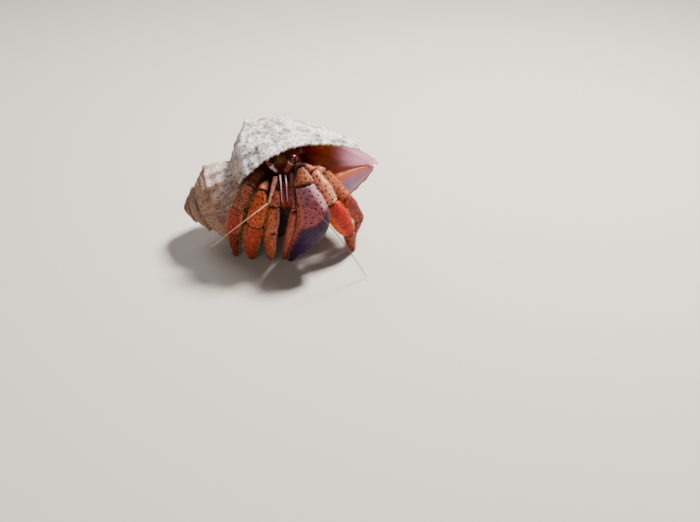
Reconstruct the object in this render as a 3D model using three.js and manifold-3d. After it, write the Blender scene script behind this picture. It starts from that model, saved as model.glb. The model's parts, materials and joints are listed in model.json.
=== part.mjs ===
// A life-size land hermit crab that looks out of a worn, knobbed sea-snail shell and stands on the floor.
// Units are millimetres. +Z is up, the crab faces -Y, and its own right side is towards -X.
import * as THREE from "three";
import { mergeVertices } from "three/addons/utils/BufferGeometryUtils.js";
import Module from "manifold-3d";

const wasm = await Module();
wasm.setup();

const { cos, sin, exp, min, max, abs, hypot, round, PI } = Math;
const point = (x, y, z) => new THREE.Vector3(x, y, z);
const mix = (a, b, t) => a + (b - a) * t;
const GAP = 0.3; // air between pieces that meet
const LEVEL = 0.45; // height of the floor in the drawing: tips and shell end in small flats here

// ---------------------------------------------------------------- materials
const finish = (color, roughness) => new THREE.MeshStandardMaterial({ color, roughness, metalness: 0 });
const CHALK = finish("#d9cfc8", 0.75); // sun-bleached shell
const RUST = finish("#b8502c", 0.45); // orange-red armour of legs and small claw
const PLUM = finish("#8a5a72", 0.4); // the large claw
const TAN = finish("#a8683f", 0.5); // head shield and stalks
const ROSE = finish("#b98a86", 0.5); // mouth parts and feeler bases
const FLESH = finish("#b97f6a", 0.6); // soft rear body
const JET = finish("#140c0c", 0.1); // eyes
const STRAW = finish("#c9a184", 0.5); // feelers

// ---------------------------------------------------------------- shapes
// Turns a closed geometry into a solid whose faces point out.
function solid(geometry) {
  geometry.deleteAttribute("normal");
  geometry.deleteAttribute("uv");
  const merged = mergeVertices(geometry, 1e-4);
  const triVerts = new Uint32Array(merged.index.array);
  const make = () =>
    new wasm.Manifold(
      new wasm.Mesh({ numProp: 3, vertProperties: merged.attributes.position.array, triVerts }),
    );
  const made = make();
  if (made.volume() > 0) return made;
  for (let i = 0; i < triVerts.length; i += 3)
    [triVerts[i + 1], triVerts[i + 2]] = [triVerts[i + 2], triVerts[i + 1]];
  return make();
}

// A capped cylinder whose rows of vertices go to place(along, round), both running from 0 to 1.
function tube(sides, steps, place) {
  const cylinder = new THREE.CylinderGeometry(1, 1, 1, sides, steps);
  const position = cylinder.attributes.position;
  for (let i = 0; i < position.count; i++) {
    const along = round((0.5 - position.getY(i)) * steps) / steps;
    const p = point(0, 0, 0);
    if (hypot(position.getX(i), position.getZ(i)) > 0.5) {
      const turn = round((Math.atan2(position.getX(i), position.getZ(i)) / (2 * PI)) * sides);
      p.copy(place(along, ((turn + sides) % sides) / sides));
    } else {
      for (let k = 0; k < sides; k++) p.addScaledVector(place(along, k / sides), 1 / sides);
    }
    position.setXYZ(i, p.x, p.y, p.z);
  }
  return solid(cylinder);
}

// The value at t of a short table of [t, value] pairs, eased between them.
function along(table, t) {
  const next = table.findIndex(([at]) => at >= t);
  if (next <= 0) return next === 0 ? table[0][1] : table[table.length - 1][1];
  const [t0, v0] = table[next - 1];
  const [t1, v1] = table[next];
  return mix(v0, v1, (t - t0) / (t1 - t0));
}

const group = new THREE.Group();

// Adds a solid to the model as a named mesh.
function add(name, made, material) {
  const mesh = made.getMesh();
  const position = new Float32Array(mesh.numVert * 3);
  for (let i = 0; i < mesh.numVert; i++)
    position.set(mesh.vertProperties.subarray(i * mesh.numProp, i * mesh.numProp + 3), i * 3);
  const geometry = new THREE.BufferGeometry();
  geometry.setAttribute("position", new THREE.BufferAttribute(position, 3));
  geometry.setIndex(new THREE.BufferAttribute(mesh.triVerts, 1));
  geometry.computeVertexNormals();
  const piece = new THREE.Mesh(geometry, material);
  piece.name = name;
  group.add(piece);
  return made;
}

// ---------------------------------------------------------------- the sea-snail shell
const APEX = point(-25.2, 9.7, 9.2); // tip of the spire
const CANAL = point(24.3, 12.1, 21.25); // the axis it winds round runs from the apex to here
const SHOULDER_RADIUS = 18.3; // at the mouth, between knobs
const SHOULDER_DROP = 21.2; // from the apex along the axis, at the mouth
const RADIUS_GROWTH = 1.786; // for each full turn
const DROP_GROWTH = 2.095;
const CANAL_GROWTH = 1.037;
const TURNS = 3.75;
const MOUTH_ANGLE = (41.9 * PI) / 180; // of the lip, from the top towards the front
const MOUTH_SKEW = (-60 * PI) / 180; // how far the lip twists from the spire end to the canal
const KNOBS_A_TURN = 8;
const KNOB_PHASE = 2.765;
const KNOB_HEIGHT = 0.14; // of the whorl's radius
const WALL = 1.3; // thinning to the lip's edge
const LIP = 0.7;
const SUTURE = 0.62; // where the last turn joins the one before, from its shoulder to the next
const SPIRE_SUTURE = 0.12; // the same in the spire, which makes it an even cone
const SLIP = { depth: 3.3, at: -0.22, width: 0.13 }; // the shoulder dips, then climbs again to the lip
// Below the shoulder: share of the way to the canal's end, and share of the shoulder's radius.
const FLANK = [[0, 1], [0.1, 1.035], [0.2, 1.045], [0.3, 1.015], [0.4, 0.955], [0.6, 0.75], [0.8, 0.505],
  [0.9, 0.33], [1, 0.13]];

const axis = CANAL.clone().sub(APEX);
const SHELL_LENGTH = axis.length();
axis.normalize();
const upward = point(0, 0, 1).addScaledVector(axis, -axis.z).normalize();
const forward = new THREE.Vector3().crossVectors(axis, upward).normalize(); // towards -Y

// A point at an angle round the axis (from the top towards the front), a radius and a drop along it.
const polar = (angle, radius, drop) =>
  APEX.clone()
    .addScaledVector(axis, drop)
    .addScaledVector(upward, radius * cos(angle))
    .addScaledVector(forward, radius * sin(angle));

// The same, with the angle in turns from the lip: 0 at the lip, and less inside.
const wound = (turns, radius, drop) =>
  polar(MOUTH_ANGLE + MOUTH_SKEW * (drop / SHELL_LENGTH - 0.5) + 2 * PI * turns, radius, drop);

const shoulderRadius = (n) => SHOULDER_RADIUS * RADIUS_GROWTH ** n;
const shoulderDrop = (n) =>
  SHOULDER_DROP * DROP_GROWTH ** n + SLIP.depth * exp(-(((n - SLIP.at) / SLIP.width) ** 2));
const sutureDrop = (n) =>
  mix(shoulderDrop(n - 1), shoulderDrop(n), mix(SPIRE_SUTURE, SUTURE, min(max(n + 1, 0), 1)));
const canalDrop = (n) =>
  SHELL_LENGTH * CANAL_GROWTH ** max(n, -1) * DROP_GROWTH ** min(n + 1, 0);
// Pointed lumps along the shoulder: a sharp tip with broad feet.
function knob(n) {
  const wave = max(0, cos(2 * PI * KNOBS_A_TURN * n + KNOB_PHASE));
  return KNOB_HEIGHT * (0.55 * wave ** 1.2 + 0.45 * wave ** 5);
}

// The outer radius below the shoulder, at n turns and a given drop, without knobs.
function radiusAt(n, drop) {
  const share = (drop - shoulderDrop(n)) / (canalDrop(n) - shoulderDrop(n));
  return share > 1 ? 0 : shoulderRadius(n) * along(FLANK, max(share, 0));
}

// The whorl's outline at n turns as [radius, drop] for q from 0 at the suture to 1 at the canal.
const RAMP = 0.25;
function outline(n, q) {
  const radius = shoulderRadius(n);
  const shoulder = shoulderDrop(n);
  if (q < RAMP) {
    const t = q / RAMP;
    const suture = radiusAt(n - 1, sutureDrop(n)) * 0.97;
    return [mix(suture, radius, t) + radius * knob(n) * t ** 3, mix(sutureDrop(n), shoulder, t ** 1.5)];
  }
  const t = (q - RAMP) / (1 - RAMP);
  const bulge = radius * knob(n) * max(0, 1 - t / 0.3) ** 1.6;
  return [radius * along(FLANK, t) + bulge, mix(shoulder, canalDrop(n), t)];
}

// A stretch of solid whorls from one turn to another.
const CORE = 0.9; // radius of the thin pillar the turns wind round
const OUTLINE_POINTS = 12;
function whorls(from, to, step) {
  const sides = OUTLINE_POINTS + 2;
  return tube(sides, round((to - from) / step), (t, around) => {
    const n = mix(from, to, t);
    const k = round(around * sides);
    if (k === OUTLINE_POINTS) return wound(n, CORE / 2, canalDrop(n));
    if (k === OUTLINE_POINTS + 1) return wound(n, CORE / 2, shoulderDrop(n - 1) * 0.8);
    return wound(n, ...outline(n, k / (OUTLINE_POINTS - 1)));
  });
}

// The room inside the last turn, from deep in the shell out to the mouth, as a share between its
// inner wall (0) and its outer wall (1).
function roomRadius(n, drop, share) {
  const scale = RADIUS_GROWTH ** n;
  const deep = mix(0.97, 0.3, max(0, drop / canalDrop(n) - 0.45) / 0.55);
  const wall = mix(WALL, LIP, max(0, 1 + n / 0.1));
  const outer = max(radiusAt(n, drop) - wall, 2.2 * scale);
  const inner = min(max(radiusAt(n - 1, drop) * deep, 0.7 * scale), outer - 0.8);
  return mix(inner, outer, share);
}
const roomStart = (n) => max(sutureDrop(n), shoulderDrop(n) - 1) + 1.3 * RADIUS_GROWTH ** n;

const ROOM_POINTS = 6;
const ROOM_TURNS = 1.0;
const ROLL = 5 / 32; // of a turn past the lip, where the inner wall rolls out to the whorl's outside
const ROOM_STEP = 1 / 32; // of a turn
const room = tube(2 * ROOM_POINTS, round((ROOM_TURNS + ROLL) / ROOM_STEP), (t, around) => {
  const turn = mix(-ROOM_TURNS, ROLL, t);
  const n = min(turn, 0);
  const k = round(around * 2 * ROOM_POINTS);
  const outer = k < ROOM_POINTS;
  const share = (outer ? k : 2 * ROOM_POINTS - 1 - k) / (ROOM_POINTS - 1);
  const drop = mix(roomStart(n), canalDrop(n) - mix(4, -1.2, max(0, 1 + n / 0.4)), share);
  if (outer || turn <= 0) return wound(turn, roomRadius(n, drop, outer ? 1 : 0), drop);
  const outside = radiusAt(turn - 1, drop) + 0.5;
  return wound(turn, mix(roomRadius(0, drop, 0), outside, turn / ROLL), drop);
});

const pillar = tube(8, 1, (t, around) =>
  polar(2 * PI * around, CORE * mix(0.6, 1, t), mix(shoulderDrop(-TURNS), canalDrop(-1), t)),
);
const tip = tube(12, 1, (t, around) =>
  polar(2 * PI * around, mix(0.4, shoulderRadius(-TURNS) * 0.95, t), shoulderDrop(-TURNS) * 1.1 * t),
);

const block = (x0, y0, z0, x1, y1, z1) =>
  solid(
    new THREE.BoxGeometry(x1 - x0, y1 - y0, z1 - z0).translate((x0 + x1) / 2, (y0 + y1) / 2, (z0 + z1) / 2),
  );
const underFloor = block(-60, -60, -20, 60, 60, LEVEL);

// The turns are added in stretches, each a step into the one before, with finer steps on the last turn.
const BREAKS = [-3.75, -3.5, -3.125, -2.75, -2.375, -2, -1.625, -1.25, -0.84375, -0.4375, 0];
const COARSE = 1 / 16; // of a turn
const FINE = 1 / 64;
let shell = pillar.add(tip);
for (let i = 0; i + 1 < BREAKS.length; i++) {
  const step = BREAKS[i] < -1.25 ? COARSE : FINE;
  shell = shell.add(whorls(BREAKS[i] - (i ? step : 0), BREAKS[i + 1], step));
}
shell = shell.subtract(room).subtract(underFloor);
add("shell", shell, CHALK);

// ---------------------------------------------------------------- lengths of limb
const FRONT = point(0, -1, 0.35).normalize(); // the way most limbs turn their broad side
const FLOOR = { at: point(0, 0, LEVEL), normal: point(0, 0, 1) };

// The plane that parts two lengths of limb where they meet at b, between a and c.
const joint = (a, b, c) => ({
  at: b,
  normal: b.clone().sub(a).normalize().add(c.clone().sub(b).normalize()).normalize(),
});

// A closed length of limb along a path of points. `broad` and `deep` are tables of its full width
// across and along `face`, and its ends lie in the planes `start` and `end` where these are given.
function length({ path, broad, deep, face = FRONT, sides = 8, steps = 5, start, end, fat = 0, gap = GAP }) {
  const curve = new THREE.CatmullRomCurve3(path, false, "centripetal");
  return tube(sides, steps, (t, around) => {
    const centre = curve.getPoint(t, point(0, 0, 0));
    const tangent = curve.getTangent(t, point(0, 0, 0));
    const across = new THREE.Vector3().crossVectors(tangent, face).normalize();
    const out = new THREE.Vector3().crossVectors(across, tangent).normalize();
    const angle = 2 * PI * around;
    const rounded = (value) => Math.sign(value) * abs(value) ** 0.85;
    const p = centre
      .addScaledVector(across, rounded(sin(angle)) * (along(broad, t) / 2 + fat))
      .addScaledVector(out, rounded(cos(angle)) * (along(deep, t) / 2 + fat));
    const plane = t === 0 ? start : t === 1 ? end : null;
    if (!plane) return p;
    const off = p.clone().sub(plane.at).dot(plane.normal) / tangent.dot(plane.normal);
    const air = plane === FLOOR ? 0 : ((t === 0 ? 1 : -1) * (gap / 2 - fat)) / tangent.dot(plane.normal);
    return p.addScaledVector(tangent, air - off);
  });
}

// A named piece of the animal, with a copy grown by the gap for cutting a neighbour clear of it.
const piece = (name, shape, material) => ({
  name,
  material,
  made: length(shape).subtract(underFloor),
  grown: length({ ...shape, fat: GAP }),
});

// The lengths of a limb through its named joints, each parted from the next.
function limb(names, joints, sizes, material, options = {}) {
  return names.map((name, i) => {
    const [a, b] = [joints[i], joints[i + 1]];
    const shape = {
      path: [a, b],
      broad: sizes[i].broad,
      deep: sizes[i].deep,
      start: i ? joint(joints[i - 1], a, b) : null,
      end: i + 2 < joints.length ? joint(a, b, joints[i + 2]) : options.end,
      face: options.face,
      steps: sizes[i].steps ?? 4,
    };
    return piece(name, shape, material);
  });
}

// ---------------------------------------------------------------- where the joints are
const RIGHT_LEG_3 = [point(-2.6, 4, 25.2), point(-5.8, -3.2, 23.2), point(-8.9, -4.5, 18.3),
  point(-10.9, -3.2, 10.6), point(-11.4, 1.6, 0)];
const RIGHT_LEG_2 = [point(-1.6, 2.2, 23.6), point(-3, -4.4, 22.6), point(-5, -6, 14.2),
  point(-6.7, -4.8, 8), point(-7.1, 0.4, 0)];
const LEFT_LEG_2 = [point(6.4, 3.4, 24.8), point(9, 0.1, 25), point(13, -0.7, 17.1),
  point(17.5, 1.4, 7.4), point(18.6, 4.6, 0)];
const LEFT_LEG_3 = [point(7, 6, 24.4), point(11.4, 3.8, 22.9), point(16.5, 3.6, 16.4),
  point(20.3, 7.6, 7.8), point(19, 12, 0)];
const RIGHT_CLAW = [point(0.4, 0.8, 22.4), point(0, -2.2, 21.5), point(-0.3, -3.7, 18.2),
  point(-1.1, -3.9, 11.5), point(-2.6, 0.3, 0)];
const LEFT_CLAW = [point(5.4, 1.6, 25.6), point(6.5, -2.7, 27.3), point(7.1, -4.6, 24.4),
  point(8.4, -5, 16), point(1.6, 0, 0)];

const parts = [];

// ---------------------------------------------------------------- walking legs
const WALK = ["merus", "carpus", "propodus", "dactyl"];
const named = (stem, side) => WALK.map((segment) => `${stem}_${side}_${segment}`);
parts.push(
  ...limb(named("leg3", "right"), RIGHT_LEG_3, [
    { broad: [[0, 2.4], [0.5, 3], [1, 2.6]], deep: [[0, 2], [0.5, 2.6], [1, 2.2]] },
    { broad: [[0, 2.5], [0.6, 3.3], [1, 3]], deep: [[0, 2.1], [0.6, 2.6], [1, 2.2]] },
    { broad: [[0, 2.9], [0.4, 4.1], [1, 3.2]], deep: [[0, 2], [0.4, 2.4], [1, 1.9]] },
    { broad: [[0, 2.9], [0.5, 2.1], [0.85, 1.2], [1, 0.6]], deep: [[0, 1.8], [0.5, 1.6], [0.85, 1], [1, 0.6]] },
  ], RUST, { end: FLOOR }),
  ...limb(named("leg2", "right"), RIGHT_LEG_2, [
    { broad: [[0, 2], [0.5, 2.3], [1, 2.3]], deep: [[0, 2], [0.5, 2.4], [1, 2.3]] },
    { broad: [[0, 2.4], [0.5, 4], [0.85, 4.1], [1, 3.4]], deep: [[0, 2.2], [0.6, 3], [1, 2.6]] },
    { broad: [[0, 3.3], [0.4, 4.3], [1, 3.4]], deep: [[0, 2.4], [0.4, 3], [1, 2.4]] },
    { broad: [[0, 3.2], [0.4, 3], [0.85, 1.7], [1, 0.8]], deep: [[0, 2.3], [0.5, 2], [0.85, 1.2], [1, 0.6]] },
  ], RUST, { end: FLOOR }),
  ...limb(named("leg2", "left"), LEFT_LEG_2, [
    { broad: [[0, 2.6], [1, 3]], deep: [[0, 2.2], [1, 2.6]], steps: 2 },
    { broad: [[0, 2.8], [0.6, 4.7], [1, 4]], deep: [[0, 2.4], [0.6, 3.3], [1, 2.8]] },
    { broad: [[0, 3.8], [0.4, 5.4], [0.8, 4.6], [1, 3]], deep: [[0, 2.6], [0.4, 3.3], [1, 2.4]] },
    { broad: [[0, 2.7], [0.5, 2.4], [0.85, 1.5], [1, 0.7]], deep: [[0, 2.2], [0.5, 1.9], [0.85, 1.2], [1, 0.6]] },
  ], RUST, { end: FLOOR }),
  ...limb(named("leg3", "left"), LEFT_LEG_3, [
    { broad: [[0, 2.2], [1, 2.7]], deep: [[0, 2], [1, 2.4]], steps: 3 },
    { broad: [[0, 2.6], [0.6, 3.4], [1, 3.1]], deep: [[0, 2.2], [0.6, 2.6], [1, 2.4]] },
    { broad: [[0, 3], [0.4, 3.9], [1, 2.6]], deep: [[0, 2.4], [0.4, 2.8], [1, 2]] },
    { broad: [[0, 2.3], [0.5, 2], [0.85, 1.3], [1, 0.7]], deep: [[0, 1.9], [0.5, 1.6], [0.85, 1], [1, 0.6]] },
  ], RUST, { end: FLOOR, face: point(0.5, -0.8, 0.35).normalize() }),
);

// ---------------------------------------------------------------- the two claws
parts.push(
  ...limb(["claw_left_merus", "claw_left_carpus"], LEFT_CLAW.slice(0, 4), [
    { broad: [[0, 2.6], [1, 3]], deep: [[0, 2.6], [1, 2.8]], steps: 2 },
    { broad: [[0, 3.2], [0.6, 4.8], [1, 4.2]], deep: [[0, 3], [1, 3.8]], steps: 3 },
  ], PLUM),
  ...limb(["claw_right_merus", "claw_right_carpus"], RIGHT_CLAW.slice(0, 4), [
    { broad: [[0, 2.2], [1, 2.5]], deep: [[0, 2.2], [1, 2.4]], steps: 2 },
    { broad: [[0, 2.2], [0.6, 2.6], [1, 2.6]], deep: [[0, 2.2], [0.6, 2.6], [1, 2.6]], steps: 3 },
  ], RUST),
);
// A hand whose blunt end meets the wrist and whose finger reaches the floor, with the moving finger
// lying along its inner edge from a knuckle a third of the way down.
const LEFT_PALM = {
  path: [LEFT_CLAW[2], point(8.3, -5.2, 20.6), point(9.1, -5.5, 15.8), point(7.4, -4.9, 10.8),
    point(4.4, -2.8, 5.2), point(2.5, -0.2, 0)],
  broad: [[0, 4], [0.2, 6.4], [0.38, 8.2], [0.52, 8], [0.7, 5.4], [0.88, 2.8], [1, 1.2]],
  deep: [[0, 3.6], [0.25, 5.4], [0.5, 6], [0.75, 4.4], [0.9, 2.4], [1, 1]],
  start: joint(LEFT_CLAW[1], LEFT_CLAW[2], LEFT_CLAW[3]),
  end: FLOOR,
  sides: 12,
  steps: 9,
};
const LEFT_FINGER = {
  path: [point(4.6, -5.2, 17.6), point(3.7, -4.8, 12.6), point(2.2, -2.8, 6.4), point(1, 0.2, 0)],
  broad: [[0, 1.6], [0.15, 2.4], [0.5, 2.2], [0.8, 1.6], [1, 0.8]],
  deep: [[0, 2], [0.2, 3.8], [0.5, 3.4], [0.8, 2.2], [1, 0.8]],
  end: FLOOR,
  sides: 10,
  steps: 6,
};
const RIGHT_PALM = {
  path: [RIGHT_CLAW[2], point(-0.8, -4.2, 14.6), point(-1.7, -4, 10), point(-2.3, -2, 5), point(-2.6, 0.3, 0)],
  broad: [[0, 2.6], [0.3, 3.4], [0.55, 3.2], [0.8, 2], [1, 0.9]],
  deep: [[0, 2.6], [0.3, 3.4], [0.6, 3], [0.8, 1.9], [1, 0.8]],
  start: joint(RIGHT_CLAW[1], RIGHT_CLAW[2], point(-0.8, -4.2, 14.6)),
  end: FLOOR,
  sides: 10,
  steps: 7,
};
const RIGHT_FINGER = {
  path: [point(-0.6, -6, 11.6), point(-1.3, -5.2, 7), point(-2, -1.9, 1.4)],
  broad: [[0, 1.1], [0.2, 1.8], [0.6, 1.5], [1, 0.8]],
  deep: [[0, 1], [0.2, 1.8], [0.6, 1.5], [1, 0.8]],
  sides: 8,
  steps: 4,
};
parts.push(
  piece("claw_left_palm", LEFT_PALM, PLUM),
  piece("claw_left_dactyl", LEFT_FINGER, PLUM),
  piece("claw_right_palm", RIGHT_PALM, RUST),
  piece("claw_right_dactyl", RIGHT_FINGER, RUST),
);

// ---------------------------------------------------------------- head
const EYES = { left: point(4.4, 0.5, 28.5), right: point(-1.4, 0.7, 27.7) };
const STALK_ROOTS = { left: point(2.4, 1.2, 25), right: point(0.6, 1.3, 24.8) };
for (const side of ["left", "right"]) {
  const root = STALK_ROOTS[side];
  const heading = EYES[side].clone().sub(root).normalize();
  const base = EYES[side].clone().addScaledVector(heading, -1.1);
  const tip = EYES[side].clone().addScaledVector(heading, 1.3);
  const stalk = { path: [root, base], broad: [[0, 1.5], [0.5, 1.4], [1, 1.8]],
    deep: [[0, 1.5], [0.5, 1.3], [1, 1.6]], steps: 3 };
  const eye = { path: [base.clone().addScaledVector(heading, GAP), tip], steps: 5,
    broad: [[0, 1.7], [0.3, 2.1], [0.6, 1.9], [0.85, 1.2], [1, 0.5]],
    deep: [[0, 1.6], [0.3, 2], [0.6, 1.8], [0.85, 1.2], [1, 0.5]] };
  parts.push(piece(`eyestalk_${side}`, stalk, TAN), piece(`eye_${side}`, eye, JET));
}
// The two small feelers hang side by side below the eyes.
const ANTENNULES = { left: 3, right: 1.7 };
// The outer mouth limbs hang like a pair of shutters below the roots of the feelers.
const MOUTH_LIMBS = { left: 3.5, right: 1.75 };
// The long feelers bend down from stout bases and lie over the claws and legs.
const FEELER_ROOTS = { left: point(4.2, -1, 25.4), right: point(0.2, -1.4, 24.8) };
const FEELERS = {
  left: [point(4.7, -7.2, 19.8), point(9.8, -10.6, 20.4), point(15.4, -10.8, 13.6), point(22, -8.6, 0.95)],
  right: [point(-1.2, -6.8, 20.6), point(-6.6, -9.8, 17.8), point(-15.9, -9.4, 9.6)],
};
for (const side of ["left", "right"]) {
  const x = ANTENNULES[side];
  const m = MOUTH_LIMBS[side];
  const [bend, ...rest] = FEELERS[side];
  const heading = bend.clone().sub(FEELER_ROOTS[side]).normalize();
  const antennule = { path: [point(x - 0.5, -0.9, 25.1), point(x - 0.2, -3, 23.8), point(x, -4.3, 19.6)],
    broad: [[0, 0.8], [0.5, 0.8], [1, 0.6]], deep: [[0, 0.8], [1, 0.6]], sides: 6, steps: 6 };
  const shutter = { path: [point(m, -0.3, 22.8), point(m, -2.1, 21.2), point(m + 0.1, -2.9, 17.6)],
    broad: [[0, 1.3], [0.5, 1.4], [1, 1.1]], deep: [[0, 1.2], [0.5, 1.2], [1, 0.9]], steps: 5 };
  const base = { path: [FEELER_ROOTS[side], bend],
    broad: [[0, 1.3], [0.5, 1.2], [1, 0.9]], deep: [[0, 1.3], [0.5, 1.2], [1, 0.9]], steps: 3 };
  const whip = { path: [bend.clone().addScaledVector(heading, 1.5 * GAP), ...rest],
    broad: [[0, 0.8], [1, 0.55]], deep: [[0, 0.8], [1, 0.55]], sides: 6, steps: 14 };
  parts.push(
    piece(`antennule_${side}`, antennule, STRAW),
    piece(`maxilliped_${side}`, shutter, ROSE),
    piece(`antenna_base_${side}`, base, ROSE),
    piece(`antenna_${side}`, whip, STRAW),
  );
}

// ---------------------------------------------------------------- body
// The body follows the room inside the shell. A place in it is an angle in degrees from the top
// towards the front, a drop along the axis, and a share of the way from inner to outer wall.
const turnAt = (degrees, drop) =>
  ((degrees * PI) / 180 - MOUTH_ANGLE - MOUTH_SKEW * (drop / SHELL_LENGTH - 0.5)) / (2 * PI);
function within(degrees, drop, share) {
  const n = min(turnAt(degrees, drop), 0);
  return polar((degrees * PI) / 180, roomRadius(n, drop, share), drop);
}
function trunk(from, to, centre, half, thick, steps) {
  return tube(12, steps, (t, around) => {
    const degrees = mix(from, to, t);
    const drop = along(centre, degrees) + along(half, degrees) * sin(2 * PI * around);
    const share = 0.5 + along(thick, degrees) * cos(2 * PI * around);
    return within(degrees, drop, share);
  });
}
const CENTRE = [[-150, 17], [-100, 20.3], [-50, 25.4], [0, 28.2], [30, 30], [60, 30.6]];
const HALF = [[-150, 1], [-135, 2], [-100, 2.9], [-50, 3.1], [0, 3.9], [30, 3.9], [60, 3.4]];
const THICK = [[-150, 0.2], [-135, 0.3], [-100, 0.4], [30, 0.4], [60, 0.3]];
const BODY_GAP = 1.4; // degrees
const BODY = [
  ["carapace", 43, -8, TAN, 4],
  ["abdomen_front", -8 - BODY_GAP, -52, FLESH, 3],
  ["abdomen_middle", -52 - BODY_GAP, -96, FLESH, 3],
  ["abdomen_rear", -96 - BODY_GAP * 1.2, -134, FLESH, 3],
  ["tail_fan", -134 - BODY_GAP * 1.4, -149, TAN, 2],
];
for (const [name, from, to, material, steps] of BODY)
  parts.push({ name, made: trunk(from, to, CENTRE, HALF, THICK, steps), material });

// Two short pairs of legs brace the body inside the shell.
const BRACES = {
  leg4_right: { path: [within(24, 24.9, 0.4), within(-6, 22.6, 0.55)], broad: 1.5 },
  leg4_left: { path: [within(10, 33.9, 0.4), within(-14, 32.4, 0.5)], broad: 1.4 },
  leg5_right: { path: [within(-14, 23.1, 0.5), within(-34, 22.2, 0.6)], broad: 1 },
  leg5_left: { path: [within(-22, 31.6, 0.4), within(-40, 30.2, 0.5)], broad: 1 },
};
for (const [name, { path, broad }] of Object.entries(BRACES)) {
  const width = [[0, broad], [0.6, broad], [1, broad * 0.7]];
  parts.push(piece(name, { path, broad: width, deep: width, face: upward, steps: 4 }, TAN));
}

// Sockets: the first of each pair is cut clear of the others.
const CLEAR = {
  carapace: ["leg3_right_merus", "leg2_right_merus", "claw_right_merus", "claw_left_merus", "leg2_left_merus",
    "leg3_left_merus", "eye_left", "eye_right", "eyestalk_left", "eyestalk_right", "antenna_base_left", "antenna_base_right",
    "antennule_left", "antennule_right", "maxilliped_left", "maxilliped_right", "leg4_left", "leg4_right"],
  claw_left_palm: ["claw_left_dactyl"],
  claw_right_palm: ["claw_right_dactyl"],
  leg3_right_merus: ["leg2_right_merus"],
  leg2_right_merus: ["claw_right_merus"],
  leg3_left_merus: ["leg2_left_merus"],
  leg2_left_merus: ["claw_left_merus"],
  claw_left_merus: ["claw_left_carpus", "antenna_base_left"],
  claw_right_merus: ["maxilliped_right", "antenna_base_right"],
  claw_right_carpus: ["maxilliped_right"],
};
const byName = new Map(parts.map((part) => [part.name, part]));
for (const [name, others] of Object.entries(CLEAR))
  for (const other of others) {
    const part = byName.get(name);
    part.made = part.made.subtract(byName.get(other).grown);
  }
for (const part of parts) add(part.name, part.made, part.material);

// The origin is the middle of the model's foot print, on the floor.
const bounds = new THREE.Box3().setFromObject(group);
const middle = bounds.getCenter(point(0, 0, 0));
group.position.set(-middle.x, -middle.y, -bounds.min.z);

export default group;
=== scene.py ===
# %% [markdown]
# # A land hermit crab in a worn sea-snail shell
# The real object is a small crustacean that wears an empty snail shell. The armour is cuticle, a hard
# and slightly glossy skin, and the shell is chalk that the sea and the sun have worn.
# The script makes each piece as a sheet of points laid over the solid of the frame, then its material.

# %% Frame and helpers
import json
import math

import bmesh
import bpy
import numpy as np
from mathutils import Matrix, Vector, noise
from mathutils.kdtree import KDTree

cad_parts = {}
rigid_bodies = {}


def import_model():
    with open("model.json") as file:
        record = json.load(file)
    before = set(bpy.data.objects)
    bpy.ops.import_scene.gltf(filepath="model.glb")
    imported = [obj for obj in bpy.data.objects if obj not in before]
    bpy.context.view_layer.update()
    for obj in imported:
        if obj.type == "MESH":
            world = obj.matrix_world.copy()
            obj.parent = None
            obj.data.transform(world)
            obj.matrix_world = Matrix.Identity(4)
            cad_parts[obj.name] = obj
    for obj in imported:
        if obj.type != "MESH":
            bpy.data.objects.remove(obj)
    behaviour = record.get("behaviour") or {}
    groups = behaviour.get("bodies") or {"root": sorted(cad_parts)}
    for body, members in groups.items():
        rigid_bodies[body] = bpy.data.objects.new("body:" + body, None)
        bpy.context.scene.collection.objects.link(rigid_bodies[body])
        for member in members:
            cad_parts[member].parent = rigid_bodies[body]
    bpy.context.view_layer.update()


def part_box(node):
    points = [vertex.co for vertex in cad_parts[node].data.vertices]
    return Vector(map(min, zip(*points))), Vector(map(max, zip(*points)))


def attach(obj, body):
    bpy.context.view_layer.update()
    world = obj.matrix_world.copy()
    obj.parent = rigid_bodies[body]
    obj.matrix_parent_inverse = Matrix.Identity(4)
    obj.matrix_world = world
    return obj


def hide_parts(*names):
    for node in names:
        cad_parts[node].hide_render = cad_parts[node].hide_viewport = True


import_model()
MM = 0.001
# The pieces are drawn in millimetres about a point on the floor below the face. The frame has its
# origin elsewhere, so the left eye's middle, known in both, gives the step from one to the other.
EYE_DRAWN = np.array([4.3588, 0.5093, 28.5594])
eye_box = np.array(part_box("eye_left"))
SHIFT = eye_box.mean(axis=0) - EYE_DRAWN * MM
LEVEL = -SHIFT[2] / MM  # height of the floor in the drawing
print("step from the drawing to the frame, mm:", (SHIFT / MM).round(2))


def vec(*numbers):
    """A place or a direction from its three numbers."""
    return np.array(numbers, float)


def unit(v):
    """The same directions with length 1."""
    return v / np.maximum(np.linalg.norm(v, axis=-1, keepdims=True), 1e-9)


def table(pairs, t):
    """The value at t of a short table of [t, value] pairs, in straight lines between them."""
    keys = np.array(pairs, float)
    return np.interp(t, keys[:, 0], keys[:, 1])


def smooth(a, b, t):
    """0 on a's side, 1 on b's side, and an easy slope between."""
    x = np.clip((t - a) / (b - a), 0, 1)
    return x * x * (3 - 2 * x)


def bumps(points, size, seed=0.0, octaves=2):
    """Smooth noise from -1 to 1 at each point, with lumps about `size` millimetres across."""
    flat = points.reshape(-1, 3) / size + seed
    values = [noise.fractal(Vector(p), 1.0, 2.0, octaves) for p in flat]
    return np.array(values).reshape(points.shape[:-1])


# %% [markdown]
# ## One way to make every piece
# A sheet is a grid whose corners are moved to the places that a formula gives. A tube's two long sides
# meet and are merged, and its ends shrink to a point, so the piece closes. Each sheet carries two UV
# maps: one in millimetres, which sizes a pattern, and one in shares, which places it.

# %% Sheets
MERGED = 2e-7  # points closer than this, in metres, become one


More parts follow.
